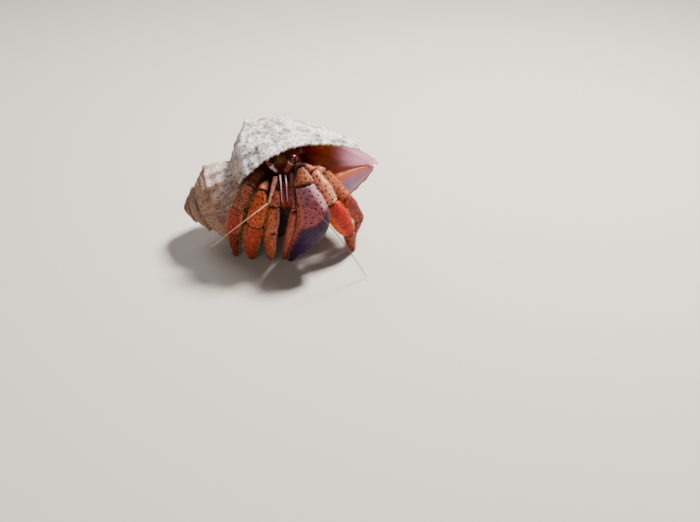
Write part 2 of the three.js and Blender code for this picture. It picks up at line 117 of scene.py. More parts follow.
def normals_of(points):
    """Unit normals of points[row, column], all to one side of the sheet."""
    along = np.gradient(points, axis=0)
    across = np.gradient(points, axis=1)
    if np.allclose(points[:, 0], points[:, -1]):
        across[:, 0] = across[:, -1] = (points[:, 1] - points[:, -2]) / 2
    return unit(np.cross(across, along))


def measured(points):
    """Millimetres up each column and, from the middle column, along each row."""
    up = np.linalg.norm(np.diff(points, axis=0), axis=2).mean(axis=1)
    around = np.linalg.norm(np.diff(points, axis=1), axis=2)
    around = np.concatenate([0 * around[:, :1], np.cumsum(around, axis=1)], axis=1)
    around = around - around[:, -1:] / 2
    return np.append(0, np.cumsum(up))[:, None] + 0 * around, around


def in_scene(name, data):
    """An object in the scene that shows this mesh, camera or lamp."""
    thing = bpy.data.objects.new(name, data)
    bpy.context.collection.objects.link(thing)
    return thing


def mesh_from(bm, name):
    """A mesh made from bm, which is then freed."""
    mesh = bpy.data.meshes.new(name)
    bm.to_mesh(mesh)
    bm.free()
    return mesh


def corners_of(mesh):
    """The number of the vertex under each corner of each face."""
    corner = np.empty(len(mesh.loops), int)
    mesh.loops.foreach_get("vertex_index", corner)
    return corner


def add_map(mesh, name, places):
    """A UV map with one place for each corner."""
    mesh.uv_layers.new(name=name).data.foreach_set("uv", places.ravel())


def sheet(name, points, sizes=None):
    """A mesh object through points[row, column], in drawn millimetres."""
    rows, columns = points.shape[:2]
    bm = bmesh.new()
    bmesh.ops.create_grid(bm, x_segments=rows - 1, y_segments=columns - 1, size=1)
    mesh = mesh_from(bm, name)
    flat = np.empty(len(mesh.vertices) * 3)
    mesh.vertices.foreach_get("co", flat)
    flat = flat.reshape(-1, 3)
    row = np.rint((flat[:, 0] + 1) / 2 * (rows - 1)).astype(int)
    column = np.rint((flat[:, 1] + 1) / 2 * (columns - 1)).astype(int)
    placed = points[row, column] * MM + SHIFT
    placed[:, 2] = np.maximum(placed[:, 2], 0)
    mesh.vertices.foreach_set("co", placed.ravel())
    corner = corners_of(mesh)
    row, column = row[corner], column[corner]
    up, around = measured(points) if sizes is None else sizes
    add_map(mesh, "millimetres", np.stack([around[row, column], up[row, column]], 1))
    add_map(mesh, "shares", np.stack([column / (columns - 1), row / (rows - 1)], 1))
    bm = bmesh.new()
    bm.from_mesh(mesh)
    bmesh.ops.remove_doubles(bm, verts=bm.verts, dist=MERGED)
    bmesh.ops.recalc_face_normals(bm, faces=bm.faces)
    for face in bm.faces:
        face.smooth = True
    bm.to_mesh(mesh)
    bm.free()
    return in_scene(name, mesh)


def put_on(piece, label, values, points):
    """Stores one number for each vertex, matched to the nearest of the points."""
    tree = KDTree(points.shape[0] * points.shape[1])
    for i, place in enumerate((points.reshape(-1, 3) * MM + SHIFT).tolist()):
        tree.insert(place, i)
    tree.balance()
    flat = values.ravel()
    layer = piece.data.attributes.new(label, "FLOAT", "POINT")
    layer.data.foreach_set("value", [float(flat[tree.find(v.co)[1]]) for v in piece.data.vertices])


def show(piece, material, nodes):
    """Gives a piece its material and its place in the frame."""
    piece.data.materials.clear()
    piece.data.materials.append(material)
    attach(piece, "root")
    if nodes:
        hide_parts(*nodes)


# %% [markdown]
# ## How a finish is written
# A finish is a small tree of nodes. One method adds a node and sets or links its inputs, so a material
# reads as a list of layers: the substance first, then what growth, wear and dirt did to it.

# %% Materials: the one function that adds nodes
def linear(code):
    """A colour written as sRGB hex, as the linear numbers that shaders take."""
    values = [int(code[i : i + 2], 16) / 255 for i in (1, 3, 5)]
    return tuple(v / 12.92 if v <= 0.04045 else ((v + 0.055) / 1.055) ** 2.4 for v in values) + (1,)


class Graph:
    """A material's node tree, with one method that adds a node and links or sets its inputs."""

    def __init__(self, name):
        self.material = bpy.data.materials.new(name)
        self.material.use_nodes = True
        self.tree = self.material.node_tree
        self.tree.nodes.clear()

    def add(self, kind, out=0, props=None, **inputs):
        """Adds a node. An input is named, or i and its number, and is a link or a value."""
        node = self.tree.nodes.new("ShaderNode" + kind)
        for key, value in (props or {}).items():
            setattr(node, key, value)
        for key, value in inputs.items():
            numbered = key[0] == "i" and key[1:].isdigit()
            socket = node.inputs[int(key[1:]) if numbered else key.replace("_", " ")]
            if isinstance(value, bpy.types.NodeSocket):
                self.tree.links.new(value, socket)
            else:
                socket.default_value = value
        return node.outputs[out] if node.outputs else node

    def math(self, operation, a, b=0.0):
        return self.add("Math", props={"operation": operation}, i0=a, i1=b)

    def plus(self, a, b):
        return self.math("ADD", a, b)

    def minus(self, a, b):
        return self.math("SUBTRACT", a, b)

    def times(self, a, b):
        return self.math("MULTIPLY", a, b)

    def mix(self, factor, a, b, blend="MIX"):
        """Colour a where the factor is 0 and b where it is 1."""
        props = {"data_type": "RGBA", "blend_type": blend}
        a = linear(a) if isinstance(a, str) else a
        b = linear(b) if isinstance(b, str) else b
        return self.add("Mix", out=2, props=props, i0=factor, i6=a, i7=b)

    def paint(self, under, mask, over, strength):
        """`over` on top of `under` where the mask is 1, as strong as `strength`."""
        return self.mix(self.times(mask, strength), under, over)

    def step(self, value, low, high):
        """0 below `low`, 1 above `high`, or the other way round when low is the larger."""
        if low > high:
            return self.minus(1.0, self.step(value, high, low))
        props = {"interpolation_type": "SMOOTHSTEP"}
        return self.add("MapRange", props=props, Value=value, From_Min=low, From_Max=high)

    def millimetres(self):
        """Object coordinates in millimetres."""
        place = self.add("TexCoord", out=3)
        return self.add("VectorMath", props={"operation": "SCALE"}, Vector=place, Scale=1000.0)

    def noise(self, where, size, detail=3.0, rough=0.55, stretch=None):
        """Cloudy patches about `size` millimetres across, from 0 to 1."""
        if stretch:
            where = self.add("VectorMath", props={"operation": "MULTIPLY"}, i0=where, i1=stretch)
        return self.add("TexNoise", Vector=where, Scale=1.0 / size, Detail=detail, Roughness=rough)

    def cells(self, where, size, randomness=1.0, dimensions="3D"):
        """Distance to the nearest of the points that are strewn `size` millimetres apart, in cells."""
        return self.add("TexVoronoi", props={"voronoi_dimensions": dimensions}, Vector=where,
                        Scale=1 / size, Randomness=randomness)

    def uv(self, label):
        return self.add("UVMap", props={"uv_map": label})

    def split(self, vector):
        """The three numbers of a vector."""
        first = self.add("SeparateXYZ", Vector=vector)
        return tuple(self.tree.nodes[first.node.name].outputs)

    def near(self, place, radius):
        """1 at a drawn place, easing to 0 at `radius` millimetres from it."""
        centre = vec(*place) + SHIFT / MM
        props = {"operation": "DISTANCE"}
        away = self.add("VectorMath", out=1, props=props, i0=self.millimetres(), i1=tuple(centre))
        return self.step(away, radius, radius * 0.4)

    def finish(self, colour, roughness, height=None, bump=0.1, **shader):
        """The material: this colour and roughness, with the height as relief of `bump` millimetres."""
        inputs = dict(Base_Color=colour, Roughness=roughness, **shader)
        if height is not None:
            inputs["Normal"] = self.add("Bump", Height=height, Distance=MM * bump, Strength=1.0)
        self.add("OutputMaterial", Surface=self.add("BsdfPrincipled", **inputs))
        return self.material


# %% [markdown]
# ## Camera, floor and light
# The camera looks down at 34 degrees from in front. One small lamp behind and above the shell draws its
# relief and leaves the space under the lip dark, and a weak broad lamp in front opens the shadows.

# %% Camera, floor and light
SENSOR = 36  # millimetres
FOCAL = 845 / 700  # in widths of the picture
TILT = 34  # degrees below level
camera_data = bpy.data.cameras.new("camera")
camera_data.sensor_width = SENSOR
camera_data.lens = SENSOR * FOCAL
camera_data.clip_start = 0.01
camera = in_scene("camera", camera_data)
camera.location = vec(17.89, -179.21, 120.58) * MM + SHIFT
camera.rotation_euler = (math.radians(90 - TILT), 0, 0)
bpy.context.scene.camera = camera

bm = bmesh.new()
bmesh.ops.create_grid(bm, x_segments=1, y_segments=1, size=1.5)
floor = in_scene("floor", mesh_from(bm, "floor"))
# Matt card, the colour of pale sand.
floor.data.materials.append(Graph("floor_card").finish(linear("#cbc4ba"), 0.85))


def lamp(name, place, aim, size, watts, colour):
    """A square lamp with sides of `size` metres, at a place in the frame and turned to `aim`."""
    data = bpy.data.lights.new(name, "AREA")
    data.size = size
    data.energy = watts
    data.color = colour
    light = in_scene(name, data)
    light.location = vec(*place) * MM
    light.rotation_euler = Vector(vec(*aim) - vec(*place)).to_track_quat("-Z", "Y").to_euler()


lamp("key", (120, 90, 270), (0, 0, 12), 0.06, 3.2, (1, 0.95, 0.88))
lamp("fill", (-80, -300, 130), (0, 0, 12), 0.2, 0.3, (1, 0.97, 0.93))
lamp("rim", (-160, 160, 200), (0, 0, 15), 0.15, 0.35, (1, 1, 1))
world = bpy.data.worlds.new("world")
bpy.context.scene.world = world
world.use_nodes = True
world.node_tree.nodes["Background"].inputs[0].default_value = (0.85, 0.9, 1, 1)
world.node_tree.nodes["Background"].inputs[1].default_value = 0.07
print("camera at, mm:", (np.array(camera.location) / MM).round(1), "lens", round(camera_data.lens, 2))

# %% [markdown]
# ## The shell
# A sea snail adds to the lip of its shell at a steady rate in turn, width and drop, so the outside is
# one outline carried round an axis while it grows. The sheet runs from the tip of the spire to the lip,
# over the lip's edge, and back inside along the wall, so that one piece has both faces.

# %% The shell's numbers
APEX = vec(-25.2, 9.7, 9.2)
CANAL = vec(24.3, 12.1, 21.25)
SHOULDER_RADIUS, RADIUS_GROWTH = 18.3, 1.786
SHOULDER_DROP, DROP_GROWTH, CANAL_GROWTH = 21.2, 2.095, 1.037
SLIP, SLIP_AT, SLIP_WIDTH = 3.3, 0.22, 0.13
TURNS = 5.6
MOUTH_ANGLE, MOUTH_SKEW = math.radians(41.9), math.radians(-60)
KNOBS_A_TURN, KNOB_PHASE, KNOB_HEIGHT = 8, 2.765, 0.14
SUTURE, SPIRE_SUTURE = 0.62, 0.12
# Radius below the shoulder as a share of the shoulder's own, at every tenth of the way to the canal.
RADII = (1, 1.035, 1.045, 1.015, 0.955, 0.86, 0.75, 0.635, 0.505, 0.33, 0.13)
FLANK = [[i / 10, radius] for i, radius in enumerate(RADII)]
RAMP = 0.25  # share of the outline that is the ramp from suture to shoulder
CLOSED = 1.05  # where the outline reaches the axis
SHELL_LENGTH = float(np.linalg.norm(CANAL - APEX))
AXIS = unit(CANAL - APEX)
UPWARD = unit(vec(0, 0, 1) - AXIS * AXIS[2])
FORWARD = np.cross(AXIS, UPWARD)
print("shell:", round(SHELL_LENGTH, 1), "mm along its axis,", TURNS, "turns")


def polar(angle, radius, drop):
    """Points at an angle round the axis, a radius and a drop along it."""
    angle, radius, drop = (np.asarray(x, float)[..., None] for x in (angle, radius, drop))
    return APEX + AXIS * drop + UPWARD * radius * np.cos(angle) + FORWARD * radius * np.sin(angle)


def wound(turns, radius, drop):
    """Points at a number of turns from the lip, which itself slants along the axis."""
    angle = MOUTH_ANGLE + MOUTH_SKEW * (drop / SHELL_LENGTH - 0.5) + 2 * math.pi * turns
    return polar(angle, radius, drop)


def shoulder_radius(n):
    """Radius of the shoulder n turns from the lip, where n is negative."""
    return SHOULDER_RADIUS * RADIUS_GROWTH**n


def shoulder_drop(n):
    """Drop of the shoulder, which slips a little lower just before the lip."""
    return SHOULDER_DROP * DROP_GROWTH**n + SLIP * np.exp(-(((n + SLIP_AT) / SLIP_WIDTH) ** 2))


def suture_drop(n):
    """Where a turn joins the one before: close under its shoulder in the spire, lower on the last turn."""
    share = SPIRE_SUTURE + (SUTURE - SPIRE_SUTURE) * np.clip(n + 1, 0, 1)
    return shoulder_drop(n - 1) + (shoulder_drop(n) - shoulder_drop(n - 1)) * share


def canal_drop(n):
    """Drop of the canal's end."""
    return SHELL_LENGTH * CANAL_GROWTH ** np.maximum(n, -1) * DROP_GROWTH ** np.minimum(n + 1, 0)


def radius_at(n, drop):
    """Radius of the flank, the part below the shoulder, at a drop along the axis."""
    share = (drop - shoulder_drop(n)) / (canal_drop(n) - shoulder_drop(n))
    return np.where(share > 1, 0, shoulder_radius(n) * table(FLANK, np.clip(share, 0, 1)))


def room_start(n):
    """How far down the axis the room inside the whorl begins."""
    return np.maximum(suture_drop(n), shoulder_drop(n) - 1) + 1.3 * RADIUS_GROWTH**n


def knob(n):
    """Pointed lumps along the shoulder: a sharp tip with broad feet."""
    wave = np.maximum(0, np.cos(2 * math.pi * KNOBS_A_TURN * n + KNOB_PHASE))
    return KNOB_HEIGHT * (0.55 * wave**1.2 + 0.45 * wave**5)


def outline(n, q):
    """Radius and drop of the outside at n turns from the lip, from suture (0) to canal (1)."""
    radius, shoulder = shoulder_radius(n), shoulder_drop(n)
    t = np.clip(q / RAMP, 0, 1)
    start = radius_at(n - 1, suture_drop(n)) * 0.97 * smooth(1 - TURNS, 1.3 - TURNS, n)
    ramp_radius = start + (radius - start) * t + radius * knob(n) * t**3
    ramp_drop = suture_drop(n) + (shoulder - suture_drop(n)) * t**1.5
    u = np.clip((q - RAMP) / (1 - RAMP), 0, 1)
    flank = radius * table(FLANK, u) + radius * knob(n) * np.maximum(0, 1 - u / 0.3) ** 1.6
    flank_drop = shoulder + (canal_drop(n) - shoulder) * u
    # Past the canal's end the outline rounds in to the axis.
    turn_in = np.clip((q - 1) / (CLOSED - 1), 0, 1) * math.pi / 2
    flank = flank * np.maximum(np.cos(turn_in), 0.02)
    flank_drop = flank_drop + radius * 0.03 * np.sin(turn_in)
    return np.where(q < RAMP, ramp_radius, flank), np.where(q < RAMP, ramp_drop, flank_drop)


# %% [markdown]
# ## The shell's sheet
# The relief goes on in the order in which it came about: ridges left by the growing lip, threads that
# run round the whorl, then wear. What the outline must show is moved in the mesh, and the finest pits
# are left to the material, because a mesh fine enough for them would be far too large.

# %% The shell's sheet
COLUMNS = 158
MIDDLE = 70  # a column half-way down the whorl, where it is plain which side is out
WALL, LIP = 1.25, 0.75  # thickness in millimetres, deep inside and at the edge
ROLL = 5 / 32  # turns over which the wall rolls out past the lip
RIDGES_A_TURN, THREADS = 46, 17
TOOTH_SPACING = 1.55
q = np.concatenate([np.linspace(0, 1, 150), np.linspace(1, CLOSED, 9)[1:]])[None, :]
turns = np.concatenate(
    [np.linspace(-TURNS, -1.25, 205), np.linspace(-1.25, -0.06, 270)[1:], np.linspace(-0.06, 0, 36)[1:]]
)
n = turns[:, None] + 0 * q
radius, drop = outline(n, q)
# The animal dissolves the inner wall of the room it lives in, most of all near the canal, and the wall
# rolls out again past the lip.
deep = np.interp(drop / canal_drop(n), [0, 0.45, 1], [0.97, 0.97, 0.3])
covered = smooth(room_start(n + 1) - 0.6, room_start(n + 1) + 0.8, drop)
worn = 1 - (1 - deep) * covered * (1 - smooth(-1.0, -1.0 + ROLL, n)) * smooth(-1.62, -1.5, n)
least = 0.5 * smooth(1 - TURNS, 1.3 - TURNS, n)  # the first turn closes on the axis
outside = wound(n, np.maximum(radius * worn, least), drop)
normal = normals_of(outside)
if normal[-60, MIDDLE] @ (outside[-60, MIDDLE] - APEX - AXIS * 30) < 0:
    normal = -normal
# Growth ridges, spiral threads and the wear of sand give the outside its relief.
seam_free = smooth(0, 0.08, q) * smooth(1, 0.93, q)
ridges = 0.09 * np.sin(2 * math.pi * RIDGES_A_TURN * n + 0.6 * np.sin(9 * n)) * smooth(-1.0, -0.8, n)
threads = 0.1 * np.sin(2 * math.pi * THREADS * q)
rough = 0.28 * bumps(outside, 4.5, 3.1, 4) + 0.1 * bumps(outside, 1.1, 9.7, 2)
spread = 0.2 * smooth(0.45, 0.6, q)
glazed = (1 - smooth(-1 + ROLL * 0.6 + spread, -1 + ROLL * 1.3 + spread, n)) * smooth(-1.6, -1.4, n)
glazed = glazed * np.maximum(covered, smooth(0.45, 0.6, q))
relief = (ridges + threads + rough) * seam_free * (1 - 0.85 * glazed)
outside = outside + normal * relief[..., None]
outside[0] = APEX + AXIS * (suture_drop(-TURNS) - 0.05)
# The lip's edge is scalloped, with small teeth.
edge_length = np.append(0, np.cumsum(np.linalg.norm(np.diff(outside[-1], axis=0), axis=1)))
teeth = 0.3 * np.maximum(0, np.sin(edge_length * 2 * math.pi / TOOTH_SPACING)) ** 0.7
teeth = teeth + 0.22 * bumps(outside[-1], 2.2, 5.0)
toward = unit(outside[-1] - outside[-4])
near_lip = smooth(-0.02, 0, turns)[:, None, None]
outside = outside + near_lip * toward[None] * (teeth * smooth(0.0, 0.1, q[0]))[None, :, None]
rim = [
    outside[-1] - normal[-1] * LIP / 2 * (1 - math.cos(a)) + toward * LIP * 0.45 * math.sin(a)
    for a in np.linspace(0, math.pi, 12)[1:-1]
]
# Inside, the wall is the same outline, one thickness in and without the knobs' full height.
back = -np.linspace(0, 1, 102)[1:] ** 1.4 * 0.8
m = back[:, None] + 0 * q
inner_radius, inner_drop = outline(m, q)
bare = wound(m, inner_radius, inner_drop)
inward = normals_of(bare)
if inward[5, MIDDLE] @ normal[-5, MIDDLE] > 0:
    inward = -inward
thickness = LIP + (WALL - LIP) * smooth(0, -0.1, m)
thickness = thickness + shoulder_radius(m) * knob(m) * 0.5 * smooth(0.1, 0.25, q)
blend = smooth(0, -0.01, m)[..., None]
inside = bare + inward * thickness[..., None]
inside = inside + (outside[-1] - bare[0])[None] * (1 - blend)
shell_points = np.concatenate([outside, np.array(rim), inside])
shell_points[..., 2] = np.maximum(shell_points[..., 2], LEVEL)
# The winding map: across is the share from suture to canal, and up is turns, above 0 inside.
winding = np.concatenate([turns, np.linspace(0, 0.05, len(rim) + 2)[1:-1], 0.05 - back])
shell = sheet("shell_skin", shell_points, sizes=np.broadcast_arrays(winding[:, None], q))
glaze_left = np.zeros((len(shell_points), COLUMNS))
glaze_left[: len(glazed)] = glazed
put_on(shell, "glaze", glaze_left, shell_points)
print("shell sheet:", shell_points.shape[:2], len(shell.data.polygons), "faces")

# %% [markdown]
# ## Chalk, stain and glaze
# The shell is lime. It is paler where it faces up and browner where it faces down, partly the sun's bleaching
# and a stain of mud and algae, partly painted light and shade, and the glaze survives only round the mouth.
# Grains of sand have pitted it, and the pits hold dirt.

# %% The shell's material
g = Graph("worn_shell")
where = g.millimetres()
across, up, _ = g.split(g.uv("millimetres"))
_, _, height = g.split(where)
_, _, facing = g.split(g.add("NewGeometry", out=1))
broad = g.noise(where, 9.0, 4.0, 0.6)
patch = g.noise(where, 3.2, 5.0, 0.65)
fine = g.noise(where, 0.5, 3.0, 0.6)
lines_at = g.add("CombineXYZ", X=g.times(up, 90.0), Y=g.times(across, 4.0))
lines = g.add("TexNoise", Vector=lines_at, Scale=1.0, Detail=3.0, Roughness=0.6)
# Paler where it faces up and stands high, partly the sun's bleaching, partly painted light: height, slant and
# a broad noise decide how far.
sun_and_painted_light = g.plus(g.times(facing, 13.0), g.plus(height, g.times(broad, 16.0)))
# The ramp and the older turns stay browner: partly stain, partly painted shade.
shadowed = g.plus(g.times(g.step(across, 0.27, 0.16), 6.0), g.times(g.step(up, -0.7, -1.1), 9.0))
bleach_and_painted_light = g.step(g.minus(sun_and_painted_light, shadowed), 18.0, 36.0)
mud_and_painted_shade = g.mix(g.step(patch, 0.4, 0.62), "#66402c", "#a06c4c")
chalk = g.mix(g.step(patch, 0.34, 0.56), "#84767e", "#fbf7f6")
colour = g.mix(bleach_and_painted_light, mud_and_painted_shade, chalk)
stain = g.noise(where, 1.5, 5.0, 0.7)
# Browner on the ramp and on the older turns, partly dirt and partly painted shade; dirt in broad patches,
# along the threads, in blots and in specks.
for value, low, high, code, strength in (
    (across, 0.26, 0.18, "#a38678", 0.55),
    (broad, 0.52, 0.66, "#b48478", 0.6),
    (up, -0.5, -0.95, "#b08468", 0.4),
    (lines, 0.52, 0.68, "#5c4234", 0.5),
    (stain, 0.55, 0.66, "#6a5650", 0.65),
    (fine, 0.54, 0.64, "#6e5e62", 0.6),
):
    colour = g.paint(colour, g.step(value, low, high), code, strength)
pits = g.cells(where, 0.8)
small_pits = g.cells(where, 0.42)
ragged = g.plus(pits, g.times(g.minus(g.noise(where, 0.3, 3.0), 0.5), 0.6))
pit_mask = g.times(g.step(ragged, 0.3, 0.12), g.step(g.noise(where, 2.4, 2.0), 0.34, 0.5))
small_mask = g.times(g.step(small_pits, 0.36, 0.2), g.step(g.noise(where, 4.0, 2.0), 0.36, 0.5))
pit_mask = g.math("MAXIMUM", pit_mask, small_mask)
colour = g.paint(colour, pit_mask, "#2c1c18", 0.9)
# The inside darkens from a tan lip to a brown depth, a painted shade deep in the mouth, and stays pink and
# glossy at the canal, where its palest pink is partly a painted highlight.
inner_mask = g.step(up, 0.01, 0.03)
depth = g.step(up, 0.06, 0.2)
inside_and_painted_light = g.mix(depth, "#9c3e20", "#200404")
inside_and_painted_light = g.paint(inside_and_painted_light, g.step(patch, 0.45, 0.7), "#4c1208", 0.3)
inside_and_painted_light = g.mix(g.step(across, 0.6, 0.78), inside_and_painted_light, "#a04a3c")
inside_and_painted_light = g.mix(g.step(across, 0.74, 0.93), inside_and_painted_light, "#ffd2e6")
edge = g.times(g.step(up, 0.1, 0.05), g.step(across, 0.97, 0.9))
inside_and_painted_light = g.paint(inside_and_painted_light, edge, g.mix(g.step(fine, 0.42, 0.6), "#9c5628", "#e4b48c"), 0.8)
colour = g.mix(inner_mask, colour, inside_and_painted_light)
# The rolled inner wall: glaze, lavender and rose, with one orange fold along it.
glaze = g.add("Attribute", out=2, props={"attribute_name": "glaze"})
pearl = g.mix(g.step(broad, 0.42, 0.58), "#a86a8c", "#9480b4")
callus = g.mix(g.step(across, 0.35, 0.7), "#2a1210", pearl)
fold = g.times(g.step(up, -1.01, -0.98), g.step(up, -0.78, -0.86))
callus = g.mix(fold, callus, "#c8602a")
colour = g.paint(colour, glaze, callus, 0.97)
# Painted shade: the outside of the shell behind and under the legs is painted near black, and there its glaze
# is made matt.
painted_shade_behind_legs = g.math("MAXIMUM", g.near((0, 3, 8), 13.0), g.near((1, 2, 18), 9.0))
painted_shade_behind_legs = g.times(painted_shade_behind_legs, g.minus(1.0, inner_mask))
colour = g.paint(colour, painted_shade_behind_legs, "#0c0503", 0.96)
gloss = g.math("MAXIMUM", inner_mask, g.minus(glaze, painted_shade_behind_legs))
roughness = g.mix(gloss, (0.85, 0.85, 0.85, 1), (0.32, 0.32, 0.32, 1))
relief = g.plus(g.times(fine, 0.5), g.times(lines, 0.6))
relief = g.minus(g.plus(relief, g.times(stain, 0.8)), g.times(pit_mask, 0.9))
relief = g.times(relief, g.minus(1.0, g.times(gloss, 0.85)))
# Near the canal the wall is thin: a painted glow, a pink emission, stands for the daylight that comes through
# it.
painted_glow_at_canal = g.times(inner_mask, g.step(across, 0.78, 0.95))
worn_shell = g.finish(colour, roughness, relief, 0.25, Subsurface_Weight=0.05,
                      Emission_Color=linear("#ffb4d0"), Emission_Strength=g.times(painted_glow_at_canal, 0.45))
show(shell, worn_shell, ["shell"])
print("shell material:", len(g.tree.nodes), "nodes")

# %% [markdown]
# ## Lengths of limb
# Each length is a hard tube of cuticle that ends where the next one begins, so its section is given at
# a few shares of its length and eased between them. At a joint its last rings lean into the plane that
# halves the bend, and a low dome closes it.

# %% Lengths of limb
FRONT = unit(vec(0, -1, 0.35))
FLOOR = (vec(0, 0, LEVEL), vec(0, 0, 1))
GAP = 0.3  # between two plates at a joint
FOOT = 0.12  # height of the dome that ends a length on the floor


def spline(path, t):
    """Places on the smooth curve through `path` (centripetal Catmull-Rom) at shares t."""
    path = np.array(path, float)
    ends = np.concatenate([[2 * path[0] - path[1]], path, [2 * path[-1] - path[-2]]])
    i = np.clip((t * (len(path) - 1)).astype(int), 0, len(path) - 2)
    w = (t * (len(path) - 1) - i)[:, None]
    p0, p1, p2, p3 = ends[i], ends[i + 1], ends[i + 2], ends[i + 3]
    pairs = ((p0, p1), (p1, p2), (p2, p3))
    d0, d1, d2 = (np.linalg.norm(b - a, axis=1, keepdims=True) ** 0.5 for a, b in pairs)
    m1 = ((p1 - p0) / d0 - (p2 - p0) / (d0 + d1) + (p2 - p1) / d1) * d1
    m2 = ((p2 - p1) / d1 - (p3 - p1) / (d1 + d2) + (p3 - p2) / d2) * d1
    return p1 + m1 * w + (3 * (p2 - p1) - 2 * m1 - m2) * w**2 + (2 * (p1 - p2) + m1 + m2) * w**3


def joint(a, b, c):
    """The plane that halves the bend at b, between a and c."""
    a, b, c = (np.array(p, float) for p in (a, b, c))
    return b, unit(unit(b - a) + unit(c - b))


def eased(pairs, t):
    """A table of [t, value] pairs with its corners rounded."""
    return np.mean([table(pairs, np.clip(t + o, 0, 1)) for o in np.linspace(-0.07, 0.07, 7)], axis=0)


def capped(points, before, after):
    """The rings with a dome at each end, which rises by `before` or `after` from the end's middle."""
    domes = []
    for edge, rise in ((points[0], before), (points[-1], after)):
        middle = edge.mean(axis=0)
        domes.append([middle + (edge - middle) * math.cos(a) + rise * math.sin(a)
                      for a in np.linspace(0, math.pi / 2, 8)[1:]])
    return np.concatenate([domes[0][::-1], points, domes[1]])


def tube(path, broad, deep=None, face=FRONT, start=None, end=None, rows=60, columns=44, dome=0.3, rim=0.0):
    """Points[row, column] of a closed length of limb, round unless a depth is given.

    Column 0 runs down its back, away from `face`. `start` and `end` are planes where it meets another
    length, or the floor, and `rim` swells the last ring.
    """
    deep = deep or broad
    fine = np.linspace(0, 1, 400)
    centre = spline(path, fine)
    arc = np.append(0, np.cumsum(np.linalg.norm(np.diff(centre, axis=0), axis=1)))
    first = dome + (GAP / 2 if start is not None else 0)
    end_dome = FOOT if end is FLOOR else dome
    last = arc[-1] - end_dome - (GAP / 2 if end is not None and end is not FLOOR else 0)
    s = np.linspace(first, last, rows)
    t = np.interp(s, arc, fine)
    centre = spline(path, t)
    tangent = unit(spline(path, np.minimum(t + 1e-3, 1)) - spline(path, np.maximum(t - 1e-3, 0)))
    across = unit(np.cross(tangent, face))
    out = unit(np.cross(across, tangent))
    angle = np.linspace(0, 2 * math.pi, columns) + math.pi
    square = [np.sign(f(angle)) * abs(f(angle)) ** 0.85 for f in (np.sin, np.cos)]
    flare = 1 + rim * np.exp(-(((arc[-1] - s) / 0.7) ** 2))
    ring = (square[0][None, :, None] * (across * (eased(broad, t) * flare / 2)[:, None])[:, None]
            + square[1][None, :, None] * (out * (eased(deep, t) * flare / 2)[:, None])[:, None])
    points = centre[:, None] + ring
    for plane, distance in ((start, s), (end, arc[-1] - s)):
        if plane is None:
            continue
        lean = -(ring @ plane[1]) / (tangent @ plane[1])[:, None]
        weight = np.exp(-((distance / max(np.ptp(ring @ across[0]), 1.0)) ** 2) * 2.5)
        points = points + tangent[:, None] * (lean * weight[:, None])[..., None]
    points = capped(points, -tangent[0] * dome, tangent[-1] * end_dome)
    points[..., 2] = np.maximum(points[..., 2], LEVEL)
    return points


def roughened(points, size, height, seed=0.0):
    """The same points with soft lumps of about `size` mm raised by `height`."""
    normal = normals_of(points)
    middle = points.mean(axis=1, keepdims=True)
    if (normal * (points - middle)).sum() < 0:
        normal = -normal
    fade = np.minimum(1, np.linalg.norm(points - middle, axis=2) / 0.5)[..., None]
    return points + normal * (bumps(points, size, seed) * height)[..., None] * fade


# %% [markdown]
# ## The finish of the armour
# The cuticle is chitin stiffened with lime. Its pigment lies under a thin clear layer, so the colour
# looks deep, with a soft shine. Dark pits mark where bristles root, and pale granules stand between.

# %% The armour's material
def armour(name, base, shade, stops, dots=("#220604", 1.2, 0.21), grain="#c87c44", edge=0.25, pale=0.3,
           sides=(), marks=None):
    """Cuticle: a mottled colour that changes along the limb, dark pits in rows and pale granules.

    A stop is (from, to, colour, strength) along the limb. A side is (middle, width, colour, strength)
    and perhaps (from, to): a stripe down the limb, centred at `middle` of the way round it, where a
    quarter is the animal's left. `dots` is (colour, spacing, size) of the pits, `edge` and `pale` are
    the strengths of the granules and of the light specks, and `marks` may paint more on the colour.
    """
    g = Graph(name)
    where = g.millimetres()
    round_share, along_share, _ = g.split(g.uv("shares"))
    mottle = g.noise(where, 1.3, 4.0, 0.6)
    colour = g.mix(g.step(mottle, 0.35, 0.68), base, shade)
    for low, high, code, strength in stops:
        colour = g.paint(colour, g.step(along_share, low, high), code, strength)
    for centre, width, code, strength, *stretch in sides:
        near = g.math("ABSOLUTE", g.minus(round_share, centre))
        wobble = g.plus(near, g.times(g.minus(mottle, 0.5), 0.08))
        here = g.step(wobble, width, width * 0.5)
        if stretch:
            here = g.times(here, g.step(along_share, *stretch))
        colour = g.paint(colour, here, code, strength)
    if marks:
        colour = marks(g, colour, round_share, along_share, mottle)
    pit_colour, spacing, size = dots
    pits = g.cells(g.uv("millimetres"), spacing, 0.5, "2D")
    pit = g.step(pits, size / spacing * 1.2, size / spacing * 0.8)
    granule = g.step(g.cells(where, 0.42), 0.5, 0.15)
    fine = g.noise(where, 0.25, 3.0, 0.6)
    worn = g.times(g.step(g.noise(where, 0.7, 4.0, 0.7), 0.5, 0.64), 0.6)
    colour = g.mix(worn, colour, "#8c6258", "MULTIPLY")
    colour = g.paint(colour, g.times(granule, g.step(mottle, 0.4, 0.6)), grain, edge)
    colour = g.paint(colour, g.step(g.cells(where, 0.75), 0.17, 0.1), "#f0d2bc", pale)
    colour = g.paint(colour, pit, pit_colour, 0.95)
    height = g.plus(g.times(granule, 0.6), g.times(fine, 0.4))
    height = g.minus(height, g.times(pit, 0.9))
    roughness = g.plus(0.42, g.times(mottle, 0.2))
    return g.finish(colour, roughness, height, 0.07, Subsurface_Weight=0.06, Subsurface_Scale=0.0004,
                    Coat_Weight=0.03, Coat_Roughness=0.2, Specular_IOR_Level=0.25)


# %% [markdown]
# ## The walking legs
# Four walking legs show, each with an upper length, a short wrist, a broad shin and a foot that ends in
# a dark nail. Their broad sides turn to the front and overlap like a shutter when the crab draws in.

